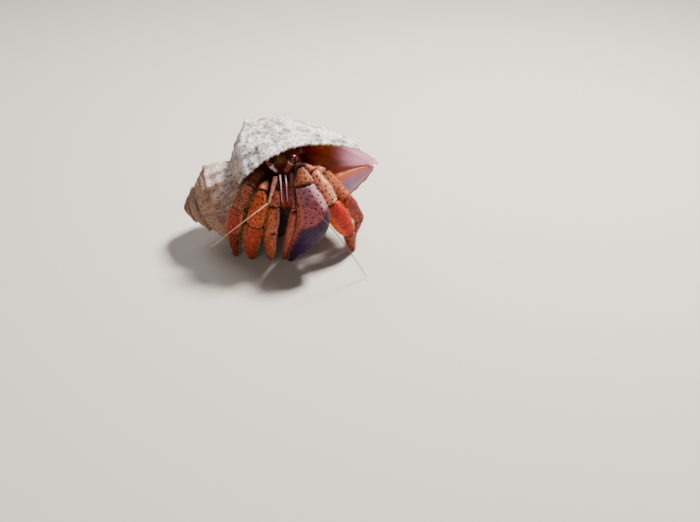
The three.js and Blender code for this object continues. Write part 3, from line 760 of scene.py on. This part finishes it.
# %% Walking legs
RIGHT_LEG_3 = [(-2.6, 4, 25.2), (-5.8, -3.2, 23.2), (-8.9, -4.5, 18.3), (-10.9, -3.2, 10.6), (-11.4, 1.6, 0)]
RIGHT_LEG_2 = [(-1.6, 2.2, 23.6), (-3, -4.4, 22.6), (-5, -6, 14.2), (-6.7, -4.8, 8), (-7.1, 0.4, 0)]
LEFT_LEG_2 = [(6.4, 3.4, 24.8), (9, 0.1, 25), (13, -0.7, 17.1), (17.5, 1.4, 7.4), (18.6, 4.6, 0)]
LEFT_LEG_3 = [(7, 6, 24.4), (11.4, 3.8, 22.9), (16.5, 3.6, 16.4), (20.3, 7.6, 7.8), (19, 12, 0)]
RIGHT_CLAW = [(0.4, 0.8, 22.4), (0, -2.2, 21.5), (-0.3, -3.7, 18.2), (-1.1, -3.9, 11.5)]
LEFT_CLAW = [(5.4, 1.6, 25.6), (6.5, -2.7, 27.3), (7.1, -4.6, 24.4), (8.4, -5, 16)]
SEGMENTS = ("merus", "carpus", "propodus", "dactyl")
PLATES = {}  # name: points, for the bristles and the membranes
JOINTS = []  # place, direction and radius of each joint, for the membranes


def add_plate(name, points, material):
    """Makes the skin of one hard piece and keeps its points."""
    PLATES[name] = points
    show(sheet(name + "_skin", points), material, [name])


def limb(names, joints, sizes, materials, face=FRONT, end=None):
    """A chain of plates from joint to joint, each with its [share, width] and [share, depth] tables."""
    for i, name in enumerate(names):
        a, b = joints[i], joints[i + 1]
        start = joint(joints[i - 1], a, b) if i else None
        stop = joint(a, b, joints[i + 2]) if i + 2 < len(joints) else end
        broad, deep = sizes[i]
        points = tube([a, b], broad, deep, face, start, stop, rim=0.0 if stop is FLOOR else 0.07)
        points = roughened(points, 1.4, 0.07, 3.3 * i)
        add_plate(name, points, materials[i])
        if start is not None:
            width = min(table(broad, 0), table(deep, 0))
            JOINTS.append((np.array(a, float), start[1], width / 2))


NAIL = (0.84, 0.96, "#1c0806", 0.95)
SMOOTH = dict(dots=("#3a0804", 1.5, 0.15), pale=0.1, edge=0.1)  # wide-spaced pits, few granules
# Old cuticle of the upper lengths: brown, with little of the pigment showing. Towards the body, in the shade
# of the shell, they are painted near black, a painted shade, and shaded_upper, on the claws, is painted shade
# all over.
rust_painted_shade = armour("rust_upper_painted_shade", "#8a4a2c", "#6a3820", [(0.6, 0.2, "#1c0806", 0.95)])
umber_painted_shade = armour("umber_upper_painted_shade", "#8a3a14", "#5a240c", [(0.85, 0.5, "#120403", 0.97)])
shaded = armour("shaded_upper", "#3a180c", "#26100a", [(0.5, 0.9, "#1c0806", 0.8)])
# Thick cuticle on the wrists of the right legs: tan to orange, paler where it folds over the joint.
tan_wrist = armour("tan_wrist", "#9c4c32", "#6c3824",
                   [(0.12, 0.0, "#4a2412", 0.6), (0.75, 0.95, "#a8663c", 0.7)],
                   sides=[(0.25, 0.12, "#5c341c", 0.7)])
orange = armour("orange_wrist", "#c84a14", "#96340a",
                [(0.12, 0.0, "#6a2a10", 0.7), (0.93, 1.0, "#d08040", 0.7)],
                sides=[(0.28, 0.1, "#d07830", 0.5), (0.75, 0.12, "#a8683e", 0.7)])
# Shins and feet: carotene red under a thin clear layer, so they look wet and deep, with a dark nail.
red = armour("red_shin", "#9a1a04", "#701404", [(0.14, 0.0, "#b8502c", 0.8)], pale=0.2,
             sides=[(0.72, 0.12, "#a83418", 0.6), (0.28, 0.15, "#b4705a", 0.75)])
red_foot = armour("red_foot", "#8c1a06", "#5c1204", [NAIL], pale=0.2)
orange_shin = armour("orange_shin", "#a82a04", "#7c1c02", [(0.08, 0.0, "#5a1e08", 0.7)], pale=0.2,
                     sides=[(0.25, 0.08, "#7e3010", 0.7)])
orange_foot = armour("orange_foot", "#a42a08", "#701c04", [NAIL], pale=0.2)
# The lit side of the left legs: the wrists are nearly cream, partly young, thin cuticle and partly painted
# light, then scarlet below them.
cream_painted_light = armour("cream_wrist_painted_light", "#ffac88", "#e08c68",
               [(0.12, 0.0, "#7a3c24", 0.6), (0.86, 0.98, "#f0d8a8", 0.8)],
               sides=[(0.25, 0.1, "#eab87c", 0.7)])
scarlet = armour("scarlet_shin", "#c01600", "#8c0a00",
                 [(0.14, 0.0, "#e06a38", 0.6), (0.8, 1.0, "#a81400", 0.6)],
                 **SMOOTH, sides=[(0.34, 0.13, "#d40c00", 0.85), (0.68, 0.17, "#dc5614", 0.85),
                                  (0.22, 0.06, "#6c0c04", 0.6)])
crimson = armour("crimson_shin", "#920a00", "#680600", [(0.14, 0.0, "#b84a24", 0.6)],
                 **SMOOTH, sides=[(0.68, 0.16, "#a82c08", 0.8)])
scarlet_foot = armour("scarlet_foot", "#8c1600", "#5e0a00", [NAIL], **SMOOTH)
# Rosy cuticle of the upper lengths, which turns orange where it meets the next, and is painted near black
# towards the body: painted shade under the shell.
rose = armour("rose_upper_painted_shade", "#c06c50", "#9c503a", [(0.65, 0.1, "#1c0806", 0.95), (0.88, 1.0, "#c06a28", 0.8)])
rose_wrist = armour("rose_wrist", "#bc6444", "#9c4c34",
                    [(0.3, 0.0, "#3c140e", 0.8), (0.82, 1.0, "#c8682a", 0.8)])


def names_of(stem, side):
    """The names of a leg's four lengths."""
    return [f"{stem}_{side}_{segment}" for segment in SEGMENTS]


limb(names_of("leg3", "right"), RIGHT_LEG_3, [
    ([[0, 2.4], [0.5, 3], [1, 2.6]], [[0, 2], [0.5, 2.6], [1, 2.2]]),
    ([[0, 2.5], [0.6, 3.3], [1, 3]], [[0, 2.1], [0.6, 2.6], [1, 2.2]]),
    ([[0, 2.9], [0.4, 4.1], [1, 3.2]], [[0, 2], [0.4, 2.4], [1, 1.9]]),
    ([[0, 2.9], [0.5, 2.1], [0.85, 1.2], [1, 0.6]], [[0, 1.8], [0.5, 1.6], [0.85, 1], [1, 0.6]]),
], [rust_painted_shade, tan_wrist, red, red_foot], end=FLOOR)
limb(names_of("leg2", "right"), RIGHT_LEG_2, [
    ([[0, 2], [0.5, 2.3], [1, 2.3]], [[0, 2], [0.5, 2.4], [1, 2.3]]),
    ([[0, 1.7], [0.25, 3], [0.5, 4], [0.85, 4.1], [1, 3.4]], [[0, 2.2], [0.6, 3], [1, 2.6]]),
    ([[0, 3.3], [0.4, 4.3], [1, 3.4]], [[0, 2.4], [0.4, 3], [1, 2.4]]),
    ([[0, 3.2], [0.4, 3], [0.85, 1.7], [1, 0.8]], [[0, 2.3], [0.5, 2], [0.85, 1.2], [1, 0.6]]),
], [umber_painted_shade, orange, orange_shin, orange_foot], end=FLOOR)
limb(names_of("leg2", "left"), LEFT_LEG_2, [
    ([[0, 2.6], [1, 3]], [[0, 2.2], [1, 2.6]]),
    ([[0, 2.8], [0.6, 4.7], [1, 4]], [[0, 2.4], [0.6, 3.3], [1, 2.8]]),
    ([[0, 3.8], [0.4, 5.4], [0.8, 4.6], [1, 3]], [[0, 2.6], [0.4, 3.3], [1, 2.4]]),
    ([[0, 2.7], [0.5, 2.4], [0.85, 1.5], [1, 0.7]], [[0, 2.2], [0.5, 1.9], [0.85, 1.2], [1, 0.6]]),
], [rose, cream_painted_light, scarlet, scarlet_foot], end=FLOOR)
limb(names_of("leg3", "left"), LEFT_LEG_3, [
    ([[0, 2.2], [1, 2.7]], [[0, 2], [1, 2.4]]),
    ([[0, 2.6], [0.6, 3.4], [1, 3.1]], [[0, 2.2], [0.6, 2.6], [1, 2.4]]),
    ([[0, 3], [0.4, 3.9], [1, 2.6]], [[0, 2.4], [0.4, 2.8], [1, 2]]),
    ([[0, 2.3], [0.5, 2], [0.85, 1.3], [1, 0.7]], [[0, 1.9], [0.5, 1.6], [0.85, 1], [1, 0.6]]),
], [rose, rose_wrist, crimson, scarlet_foot], face=unit(vec(0.5, -0.8, 0.35)), end=FLOOR)
print("walking legs:", len(PLATES), "plates")

# %% [markdown]
# ## The claws
# The left claw is much the larger and closes the shell like a door. Its outer face is domed and carries
# pits and pale granules, and its lower edge turns under in violet. The moving finger lies along the
# inner edge. The right claw is small and feeds the mouth.

# %% Claws
# Wrist of the great claw: thick brown cuticle with a rosy outer edge.
plum = armour("plum_wrist", "#98522f", "#7c4026", [(0.12, 0.0, "#4a2012", 0.7), (0.95, 1.0, "#2e0e0a", 0.9)],
              sides=[(0.27, 0.1, "#b98478", 0.7)])


def palm_marks(g, colour, round_share, along_share, mottle):
    """A pale band down the hand's outer edge, and violet where that edge turns under."""
    wobble = g.times(g.minus(mottle, 0.5), 0.05)
    here = g.plus(round_share, wobble)
    border = g.minus(0.46, g.times(along_share, 0.35))
    band = g.times(g.step(g.minus(here, border), 0.03, -0.03), g.step(here, 0.2, 0.26))
    band = g.times(band, g.step(g.plus(along_share, wobble), 0.28, 0.24))
    colour = g.paint(colour, band, "#bf9aa0", 0.6)
    border = g.plus(0.3, g.times(g.step(along_share, 0.2, 0.45), 0.28))
    under = g.step(g.minus(here, border), 0.04, -0.04)
    under = g.times(under, g.step(g.plus(along_share, wobble), 0.22, 0.3))
    return g.paint(colour, under, g.mix(g.step(mottle, 0.3, 0.7), "#10031e", "#220a44"), 0.97)


# The great hand: plum cuticle with large pits, so fine in its grain that it shines like leather.
palm_skin = armour(
    "palm", "#96444c", "#803646", [(0.26, 0.02, "#8c6274", 0.8), (0.6, 0.95, "#6a2848", 0.7)],
    dots=("#200410", 1.45, 0.25), edge=0.1, grain="#b87878", pale=0.08,
    sides=[(0.66, 0.1, "#a85a3c", 0.6)], marks=palm_marks)
finger_skin = armour("finger", "#a4553a", "#8a3c38", [(0.8, 0.97, "#3c1420", 0.8)],
                     sides=[(0.3, 0.1, "#3a1216", 0.8)])
# The small claw is orange-brown, and its outer edge is scuffed grey.
small_claw = armour("small_claw", "#bc5a34", "#8e4424",
                    [(0.1, 0.0, "#3a180c", 0.7), (0.94, 1.0, "#4a1c10", 0.6)],
                    sides=[(0.3, 0.09, "#a88a92", 0.7)])
LEFT_PALM = [LEFT_CLAW[2], (8.3, -5.2, 20.6), (9.1, -5.5, 15.8), (7.4, -4.9, 10.8), (4.4, -2.8, 5.2),
             (2.5, -0.2, 0)]
LEFT_FINGER = [(4.6, -5.2, 17.6), (3.7, -4.8, 12.6), (2.2, -2.8, 6.4), (1, 0.2, 0)]
RIGHT_PALM = [RIGHT_CLAW[2], (-0.8, -4.2, 14.6), (-1.7, -4, 10), (-2.3, -2, 5), (-2.6, 0.3, 0)]
RIGHT_FINGER = [(-0.6, -6, 11.6), (-1.3, -5.2, 7), (-2, -1.9, 1.4)]
limb(["claw_left_merus", "claw_left_carpus"], LEFT_CLAW, [
    ([[0, 2.6], [1, 3]], [[0, 2.6], [1, 2.8]]),
    ([[0, 1.6], [0.3, 2.8], [0.75, 4.5], [1, 4.3]], [[0, 2.4], [1, 3.8]]),
], [shaded, plum])
limb(["claw_right_merus", "claw_right_carpus"], RIGHT_CLAW, [
    ([[0, 2.2], [1, 2.5]], [[0, 2.2], [1, 2.4]]),
    ([[0, 2.2], [0.6, 2.6], [1, 2.6]], [[0, 2.2], [0.6, 2.6], [1, 2.6]]),
], [shaded, small_claw])
for name, path, broad, deep, start, end, material, slot in (
    ("claw_left_palm", LEFT_PALM,
     [[0, 4], [0.2, 6.4], [0.38, 8.2], [0.52, 8], [0.7, 5.4], [0.88, 2.8], [1, 1.2]],
     [[0, 3.6], [0.25, 5.4], [0.5, 6], [0.75, 4.4], [0.9, 2.4], [1, 1]],
     joint(*LEFT_CLAW[1:4]), FLOOR, palm_skin, "purple_armour"),
    ("claw_left_dactyl", LEFT_FINGER, [[0, 1.6], [0.15, 2.4], [0.5, 2.2], [0.8, 1.6], [1, 0.8]],
     [[0, 2], [0.2, 3.8], [0.5, 3.4], [0.8, 2.2], [1, 0.8]], None, FLOOR, finger_skin, "purple_armour"),
    ("claw_right_palm", RIGHT_PALM, [[0, 2.6], [0.3, 3.4], [0.55, 3.2], [0.8, 2], [1, 0.9]],
     [[0, 2.6], [0.3, 3.4], [0.6, 3], [0.8, 1.9], [1, 0.8]],
     joint(RIGHT_CLAW[1], RIGHT_CLAW[2], RIGHT_PALM[1]), FLOOR, small_claw, "orange_armour"),
    ("claw_right_dactyl", RIGHT_FINGER, [[0, 1.1], [0.2, 1.8], [0.6, 1.5], [1, 0.8]],
     [[0, 1], [0.2, 1.8], [0.6, 1.5], [1, 0.8]], None, None, small_claw, "orange_armour"),
):
    points = tube(path, broad, deep, start=start, end=end, rows=110, columns=80)
    points = roughened(roughened(points, 2.6, 0.12, 5.0), 0.55, 0.05, 8.0)
    add_plate(name, points, material)
print("claws:", len(PLATES), "plates so far")

# %% [markdown]
# ## The head
# The eyes stand on stalks under the edge of the shell. Below them hang the small feelers, which smell,
# and the outer mouth limbs, which fold like shutters. The long feelers touch the ground ahead.

# %% Head
EYES = {"left": vec(4.4, 0.5, 28.5), "right": vec(-1.4, 0.7, 27.7)}
STALK_ROOTS = {"left": vec(2.4, 1.2, 25), "right": vec(0.6, 1.3, 24.8)}
ANTENNULES = {"left": 3, "right": 1.7}
MOUTH_LIMBS = {"left": 3.5, "right": 1.75}
FEELER_ROOTS = {"left": vec(4.2, -1, 25.4), "right": vec(0.2, -1.4, 24.8)}
FEELERS = {
    "left": [vec(4.7, -7.2, 19.8), vec(9.8, -10.6, 20.4), vec(15.4, -10.8, 13.6), vec(22, -8.6, 0.95)],
    "right": [vec(-1.2, -6.8, 20.6), vec(-6.6, -9.8, 17.8), vec(-15.9, -9.4, 9.6)],
}


def eye_glass():
    """A dark red-brown eye under a clear, wet dome, with the fine honeycomb of its lenses."""
    g = Graph("cornea")
    where = g.millimetres()
    lenses = g.cells(where, 0.09, 0.3)
    colour = g.mix(g.step(g.noise(where, 1.0, 2.0), 0.4, 0.62), "#2a0506", "#640f0e")
    _, up, _ = g.split(g.uv("shares"))
    colour = g.mix(g.step(up, 0.27, 0.2), colour, "#e8b8b4")
    return g.finish(colour, 0.06, lenses, 0.001, Specular_IOR_Level=0.4)


def feeler_skin(name, base, band):
    """A whip of many short rings."""
    g = Graph(name)
    _, up, _ = g.split(g.uv("millimetres"))
    wave = g.math("SINE", g.times(up, 2 * math.pi / 0.35))
    colour = g.mix(g.step(wave, -0.2, 0.9), base, band)
    return g.finish(colour, 0.4, wave, 0.03, Subsurface_Weight=0.2, Subsurface_Scale=0.0004)


cornea = eye_glass()
STALK_PITS = ("#2a0a08", 0.5, 0.05)
STALK_SKINS = {
    "left": armour("warm_stalk", "#8c3a18", "#5c200e", [(0.5, 0.9, "#b05028", 0.6)], dots=STALK_PITS),
    "right": armour("pale_stalk", "#5c1c14", "#40120c", [(0.8, 1.0, "#7c2c20", 0.8)], dots=STALK_PITS,
                    sides=[(0.36, 0.2, "#f0c4c8", 0.97, 0.15, 0.35)]),
}
# Mouth limbs and feeler bases: brown to rose, with pits too small to count.
mouth_skin = armour("mouth_limb", "#96423a", "#6c2624", [(0.6, 0.95, "#9c1a08", 0.9)],
                    dots=("#2a0a08", 0.6, 0.08))
base_skin = armour("feeler_base", "#9c6258", "#6a3430",
                   [(0.3, 0.0, "#3c140e", 0.8), (0.8, 1.0, "#c49078", 0.6)],
                   dots=("#3a140c", 0.6, 0.07))
# Feelers are rings of cuticle a third of a millimetre apart, so the whips look finely banded.
pale_whip = feeler_skin("pale_whip", "#d8b498", "#8c5c48")
dark_whip = feeler_skin("dark_whip", "#84342a", "#36100f")
small_whip = feeler_skin("small_whip", "#dcc0c4", "#7a4458")
for side in ("left", "right"):
    x, m = ANTENNULES[side], MOUTH_LIMBS[side]
    heading = unit(EYES[side] - STALK_ROOTS[side])
    base, tip = EYES[side] - heading * 1.1, EYES[side] + heading * 1.3
    bend, *rest = FEELERS[side]
    forward = unit(bend - FEELER_ROOTS[side])
    for name, path, broad, deep, material, slot, detail in (
        ("eyestalk", [STALK_ROOTS[side], base],
         [[0, 1.5], [0.5, 1.4], [1, 1.8]], [[0, 1.5], [0.5, 1.3], [1, 1.6]],
         STALK_SKINS[side], "tan_armour", 40),
        ("eye", [base - heading * 0.15, tip],
         [[0, 1.6], [0.2, 2.1], [0.5, 2.3], [0.8, 1.8], [0.95, 1.1], [1, 0.6]],
         [[0, 1.6], [0.2, 2.0], [0.5, 2.2], [0.8, 1.7], [0.95, 1.1], [1, 0.6]], cornea, "cornea", 48),
        ("antennule", [(x - 0.5, -0.9, 25.1), (x - 0.2, -3, 23.8), (x, -4.3, 19.6)],
         [[0, 0.5], [0.3, 0.38], [1, 0.24]], None, small_whip, "feeler", 80),
        ("maxilliped", [(m, -0.3, 22.8), (m, -2.1, 21.2), (m + 0.1, -2.9, 17.6)],
         [[0, 1.3], [0.5, 1.4], [1, 1.1]], [[0, 1.2], [0.5, 1.2], [1, 0.9]], mouth_skin, "rose_armour", 60),
        ("antenna_base", [FEELER_ROOTS[side], bend], [[0, 1.3], [0.4, 1.1], [0.75, 0.8], [1, 0.6]],
         None, base_skin, "rose_armour", 60),
        ("antenna", [bend - forward * 0.2, *rest], [[0, 0.38], [0.3, 0.24], [1, 0.15]], None,
         dark_whip if side == "left" else pale_whip, "feeler", 200),
    ):
        full = f"{name}_{side}"
        points = tube(path, broad, deep, rows=detail, columns=32, dome=0.25)
        if name not in ("eye", "antenna", "antennule"):
            points = roughened(points, 0.8, 0.06, 2.0)
        add_plate(full, points, material)
print("head:", len(PLATES), "plates so far")

# %% [markdown]
# ## The body inside the shell
# Behind the head shield the body is soft and follows the winding of the room, and a small fan at its
# end holds the pillar of the shell. Two short pairs of legs brace it.

# %% Body
# Along the body, by degrees round the axis: its middle's drop, half its breadth, half its share of the room.
CENTRE = [[-150, 17], [-100, 20.3], [-50, 25.4], [0, 28.2], [30, 30], [60, 30.6]]
HALF = [[-150, 1], [-135, 2], [-100, 2.9], [-50, 3.1], [0, 3.9], [30, 3.9], [60, 3.4]]
THICK = [[-150, 0.2], [-135, 0.3], [-100, 0.4], [30, 0.4], [60, 0.3]]


def room_radius(n, drop, share):
    """The radius at a share of the way from the inner to the outer wall of the room."""
    deep = 0.97 - 0.67 * np.maximum(0, drop / canal_drop(n) - 0.45) / 0.55
    wall = 1.3 - 0.6 * np.maximum(0, 1 + n / 0.1)
    scale = RADIUS_GROWTH**n
    outer = np.maximum(radius_at(n, drop) - wall, 2.2 * scale)
    inner = np.minimum(np.maximum(radius_at(n - 1, drop) * deep, 0.7 * scale), outer - 0.8)
    return inner + (outer - inner) * share


def within(degrees, drop, share):
    """A place in the room: degrees from the top towards the front, drop along the axis, and share."""
    angle = np.radians(degrees)
    n = np.minimum((angle - MOUTH_ANGLE - MOUTH_SKEW * (drop / SHELL_LENGTH - 0.5)) / (2 * math.pi), 0)
    return polar(angle, room_radius(n, drop, share), drop)


def trunk(start, stop, rows=60, columns=64):
    """A closed length of the body in the room, from one angle round the axis to another."""
    degrees = np.linspace(start, stop, rows)[:, None]
    angle = np.linspace(0, 2 * math.pi, columns)[None, :]
    drop = table(CENTRE, degrees) + table(HALF, degrees) * np.sin(angle)
    share = 0.5 + table(THICK, degrees) * np.cos(angle)
    points = within(degrees + 0 * angle, drop, share)
    middles = points.mean(axis=1)
    return capped(points, unit(middles[0] - middles[1]) * 0.5, unit(middles[-1] - middles[-2]) * 0.5)


def shield_marks(g, colour, round_share, along_share, mottle):
    """The olive and orange tip of the shield, between the eyes."""
    tip = g.near((1.6, 0.6, 28.6), 1.4)
    return g.paint(colour, tip, g.mix(g.step(mottle, 0.4, 0.6), "#6a5210", "#8c3a14"), 0.9)


# The shield is thin, and painted darker than the legs: a painted shade for its place under the shell's lip.
# Its tip is olive and orange.
shield = armour("shield", "#561c14", "#34100c", [(0.0, 0.3, "#2a120a", 0.3)],
                dots=("#0c0403", 0.8, 0.1), pale=0.1, marks=shield_marks)
# Cuticle that never sees the sun stays pale.
fan = armour("tail_fan", "#c98a5a", "#a8603a", [(0.8, 1.0, "#5a2a18", 0.6)])
brace = armour("brace_leg", "#c07848", "#a05a34", [(0.85, 1.0, "#5a2a18", 0.6)])
for name, start, stop, material in (("carapace", 42, -8.5, shield), ("tail_fan", -136, -148, fan)):
    add_plate(name, roughened(trunk(start, stop), 2.2, 0.12, 4.0), material)
# The two ends of each, as degrees, drop and share of the room, and its width.
BRACES = {
    "leg4_right": ([(24, 24.9, 0.4), (-6, 22.6, 0.55)], 1.5),
    "leg4_left": ([(10, 33.9, 0.4), (-14, 32.4, 0.5)], 1.4),
    "leg5_right": ([(-14, 23.1, 0.5), (-34, 22.2, 0.6)], 1),
    "leg5_left": ([(-22, 31.6, 0.4), (-40, 30.2, 0.5)], 1),
}
for name, (ends, broad) in BRACES.items():
    width = [[0, broad], [0.6, broad], [1, broad * 0.7]]
    points = tube([within(*end) for end in ends], width, face=UPWARD, columns=32)
    add_plate(name, roughened(points, 0.8, 0.06), brace)
print("body:", len(PLATES), "plates in all")

# %% [markdown]
# ## The soft skin
# One skin covers the soft rear body and, at every joint, the fold of membrane that lets the hard plates
# move. It is built as one mesh, so nothing shows where one part of it ends.

# %% Soft skin
FOLD_WIDTH = 0.84  # of the narrower plate at the joint
# Thin, bare skin, without lime: wrinkled and only just glossy, and painted dark, partly a painted shade for
# the folds at the joints under the shell.
g = Graph("soft_skin")
where = g.millimetres()
blotch = g.noise(where, 1.6, 4.0, 0.6)
wrinkle = g.noise(where, 0.5, 4.0, 0.6, stretch=(1.0, 1.0, 2.0))
colour = g.mix(g.step(blotch, 0.38, 0.66), "#3c140c", "#5e281a")
skin_with_painted_shade = g.finish(colour, 0.6, wrinkle, 0.12, Subsurface_Weight=0.1, Subsurface_Scale=0.0006,
                         Specular_IOR_Level=0.25)
pieces = [roughened(trunk(-8, -136, rows=150), 1.8, 0.16, 1.0)]
for place, direction, radius in JOINTS:
    width = 2 * radius * FOLD_WIDTH
    pieces.append(tube([place - direction, place + direction], [[0, width], [1, width]],
                       rows=24, columns=32, dome=0.35))
bm = bmesh.new()
for i, points in enumerate(pieces):
    part = sheet(f"fold_{i}", points)
    bm.from_mesh(part.data)
    bpy.data.objects.remove(part)
soft_body = in_scene("soft_body_skin", mesh_from(bm, "soft_body_skin"))
print("soft skin:", len(JOINTS), "folds,", len(soft_body.data.polygons), "faces")
show(soft_body, skin_with_painted_shade, ["abdomen_front", "abdomen_middle", "abdomen_rear"])

# %% [markdown]
# ## Bristles
# Short pale bristles stand in tufts along the edges of the legs and round their joints, and a redder
# fringe hangs from the mouth limbs. One tapered bristle is made, an array repeats it, and each copy is
# then moved to its root. Its bake map puts a tuft at its root's place on the unwrapped plates.

# %% One bristle, repeated
BRISTLE_RINGS = 2
HALF_THICK, DROOP = 0.055, 0.18
CELLS = 6  # plates along each side of the bake map
PATCH = 0.003  # size of a bristle on the bake map


def repeated(name, count):
    """An object that holds `count` copies of a bristle one unit long, and the points of one copy."""
    bm = bmesh.new()
    bmesh.ops.create_cone(bm, cap_ends=True, segments=4, radius1=1, radius2=0.2, depth=1)
    bmesh.ops.translate(bm, verts=bm.verts, vec=(0, 0, 0.5))
    long_edges = [e for e in bm.edges if abs(e.verts[0].co.z - e.verts[1].co.z) > 0.5]
    bmesh.ops.subdivide_edges(bm, edges=long_edges, cuts=BRISTLE_RINGS, use_grid_fill=True)
    one = mesh_from(bm, name + "_one")
    maker = in_scene(name + "_maker", one)
    array = maker.modifiers.new("array", "ARRAY")
    array.count = count
    array.use_relative_offset = False
    bpy.context.view_layer.update()
    mesh = bpy.data.meshes.new_from_object(maker.evaluated_get(bpy.context.evaluated_depsgraph_get()))
    mesh.name = name
    shape = np.array([tuple(v.co) for v in one.vertices])
    bpy.data.objects.remove(maker)
    return in_scene(name, mesh), shape


def brush(name, tufts, each, material, seed):
    """Bristles in tufts: each tuft is (plate, share round, share along, length, lean)."""
    chance = np.random.default_rng(seed)
    plates = list(PLATES)
    skins = {plate: normals_of(PLATES[plate]) for plate in plates}
    roots, headings, lengths, places = [], [], [], []
    for plate, u, v, length, lean in tufts:
        points, normal = PLATES[plate], skins[plate]
        rows, columns = points.shape[:2]
        for _ in range(each):
            r = int(np.clip(round((v + chance.normal(0, 0.006)) * (rows - 1)), 1, rows - 2))
            c = int(round((u + chance.normal(0, 0.008)) * (columns - 1))) % (columns - 1)
            outward = normal[r, c]
            if outward @ (points[r, c] - points[r].mean(axis=0)) < 0:
                outward = -outward
            along = unit(points[r + 1, c] - points[r - 1, c])
            heading = unit(outward + along * lean + chance.normal(0, 0.22, 3))
            roots.append(points[r, c] - outward * 0.05)
            headings.append(heading)
            lengths.append(length * chance.uniform(0.7, 1.15))
            cell = plates.index(plate)
            places.append(((cell % CELLS + 0.1 + 0.8 * c / columns) / CELLS,
                           (cell // CELLS + 0.1 + 0.8 * r / rows) / CELLS))
    roots, headings, lengths, places = map(np.array, (roots, headings, lengths, places))
    piece, shape = repeated(name, len(roots))
    side = unit(np.cross(headings, vec(0.3, 0.2, 1)))
    other = np.cross(headings, side)
    x, y, z = shape.T
    thick = HALF_THICK * (1 - 0.25 * z)
    co = roots[:, None] + side[:, None] * (x * thick)[None, :, None]
    co = co + other[:, None] * (y * thick)[None, :, None]
    co = co + headings[:, None] * (z[None] * lengths[:, None])[..., None]
    co = co - vec(0, 0, 1) * (DROOP * z[None] ** 2 * lengths[:, None])[..., None]
    co[..., 2] = np.maximum(co[..., 2], LEVEL)
    mesh = piece.data
    mesh.vertices.foreach_set("co", (co * MM + SHIFT).ravel())
    copy, point = np.divmod(corners_of(mesh), len(shape))
    add_map(mesh, "OFBake", places[copy] + shape[point, :2] * PATCH / 2)
    mesh.update()
    show(piece, material, [])
    print(name, len(roots), "bristles,", len(mesh.polygons), "faces")


# %% [markdown]
# ## Where the bristles stand
# On the real legs they stand along the two edges, thinly on the face, and in a ring before each joint.
# The mouth limbs carry a denser and redder fringe, which sweeps food towards the mouth.

# %% Where the bristles stand
def bristle_skin(name, light, dark):
    """Bristles are horn-like cuticle, without lime, in two tones."""
    g = Graph(name)
    tone = g.noise(g.millimetres(), 0.8, 2.0)
    return g.finish(g.mix(g.step(tone, 0.4, 0.6), light, dark), 0.45)


pale_bristle = bristle_skin("bristle", "#b98a4e", "#7a4a26")
red_bristle = bristle_skin("mouth_bristle", "#a8401c", "#5c1c10")
edges, rings, fringe = [], [], []
for plate in PLATES:
    if plate.startswith(("leg2", "leg3")) and not plate.endswith("merus"):
        for v in np.linspace(0.12, 0.86, 17):
            edges += [(plate, u, v, 0.75, 0.8) for u in (0.25, 0.75)]
            edges.append((plate, 0.5 + 0.16 * math.sin(23 * v), v, 0.45, 1.2))
    if plate.endswith(("carpus", "propodus")):
        rings += [(plate, u, 0.93, 0.6, 1.3) for u in np.linspace(0.05, 0.95, 22)]
    if plate.startswith("maxilliped"):
        for v in np.linspace(0.3, 0.95, 12):
            fringe += [(plate, u, v, 0.9, 0.9) for u in (0.2, 0.35, 0.65, 0.8)]
    if plate.startswith("claw") and plate.endswith(("palm", "dactyl")):
        edges += [(plate, u, v, 0.5, 0.8) for v in np.linspace(0.3, 0.9, 14) for u in (0.25, 0.75)]
brush("edge_bristles", edges, 4, pale_bristle, 11)
brush("joint_bristles", rings, 4, pale_bristle, 12)
brush("mouth_bristles", fringe, 4, red_bristle, 13)
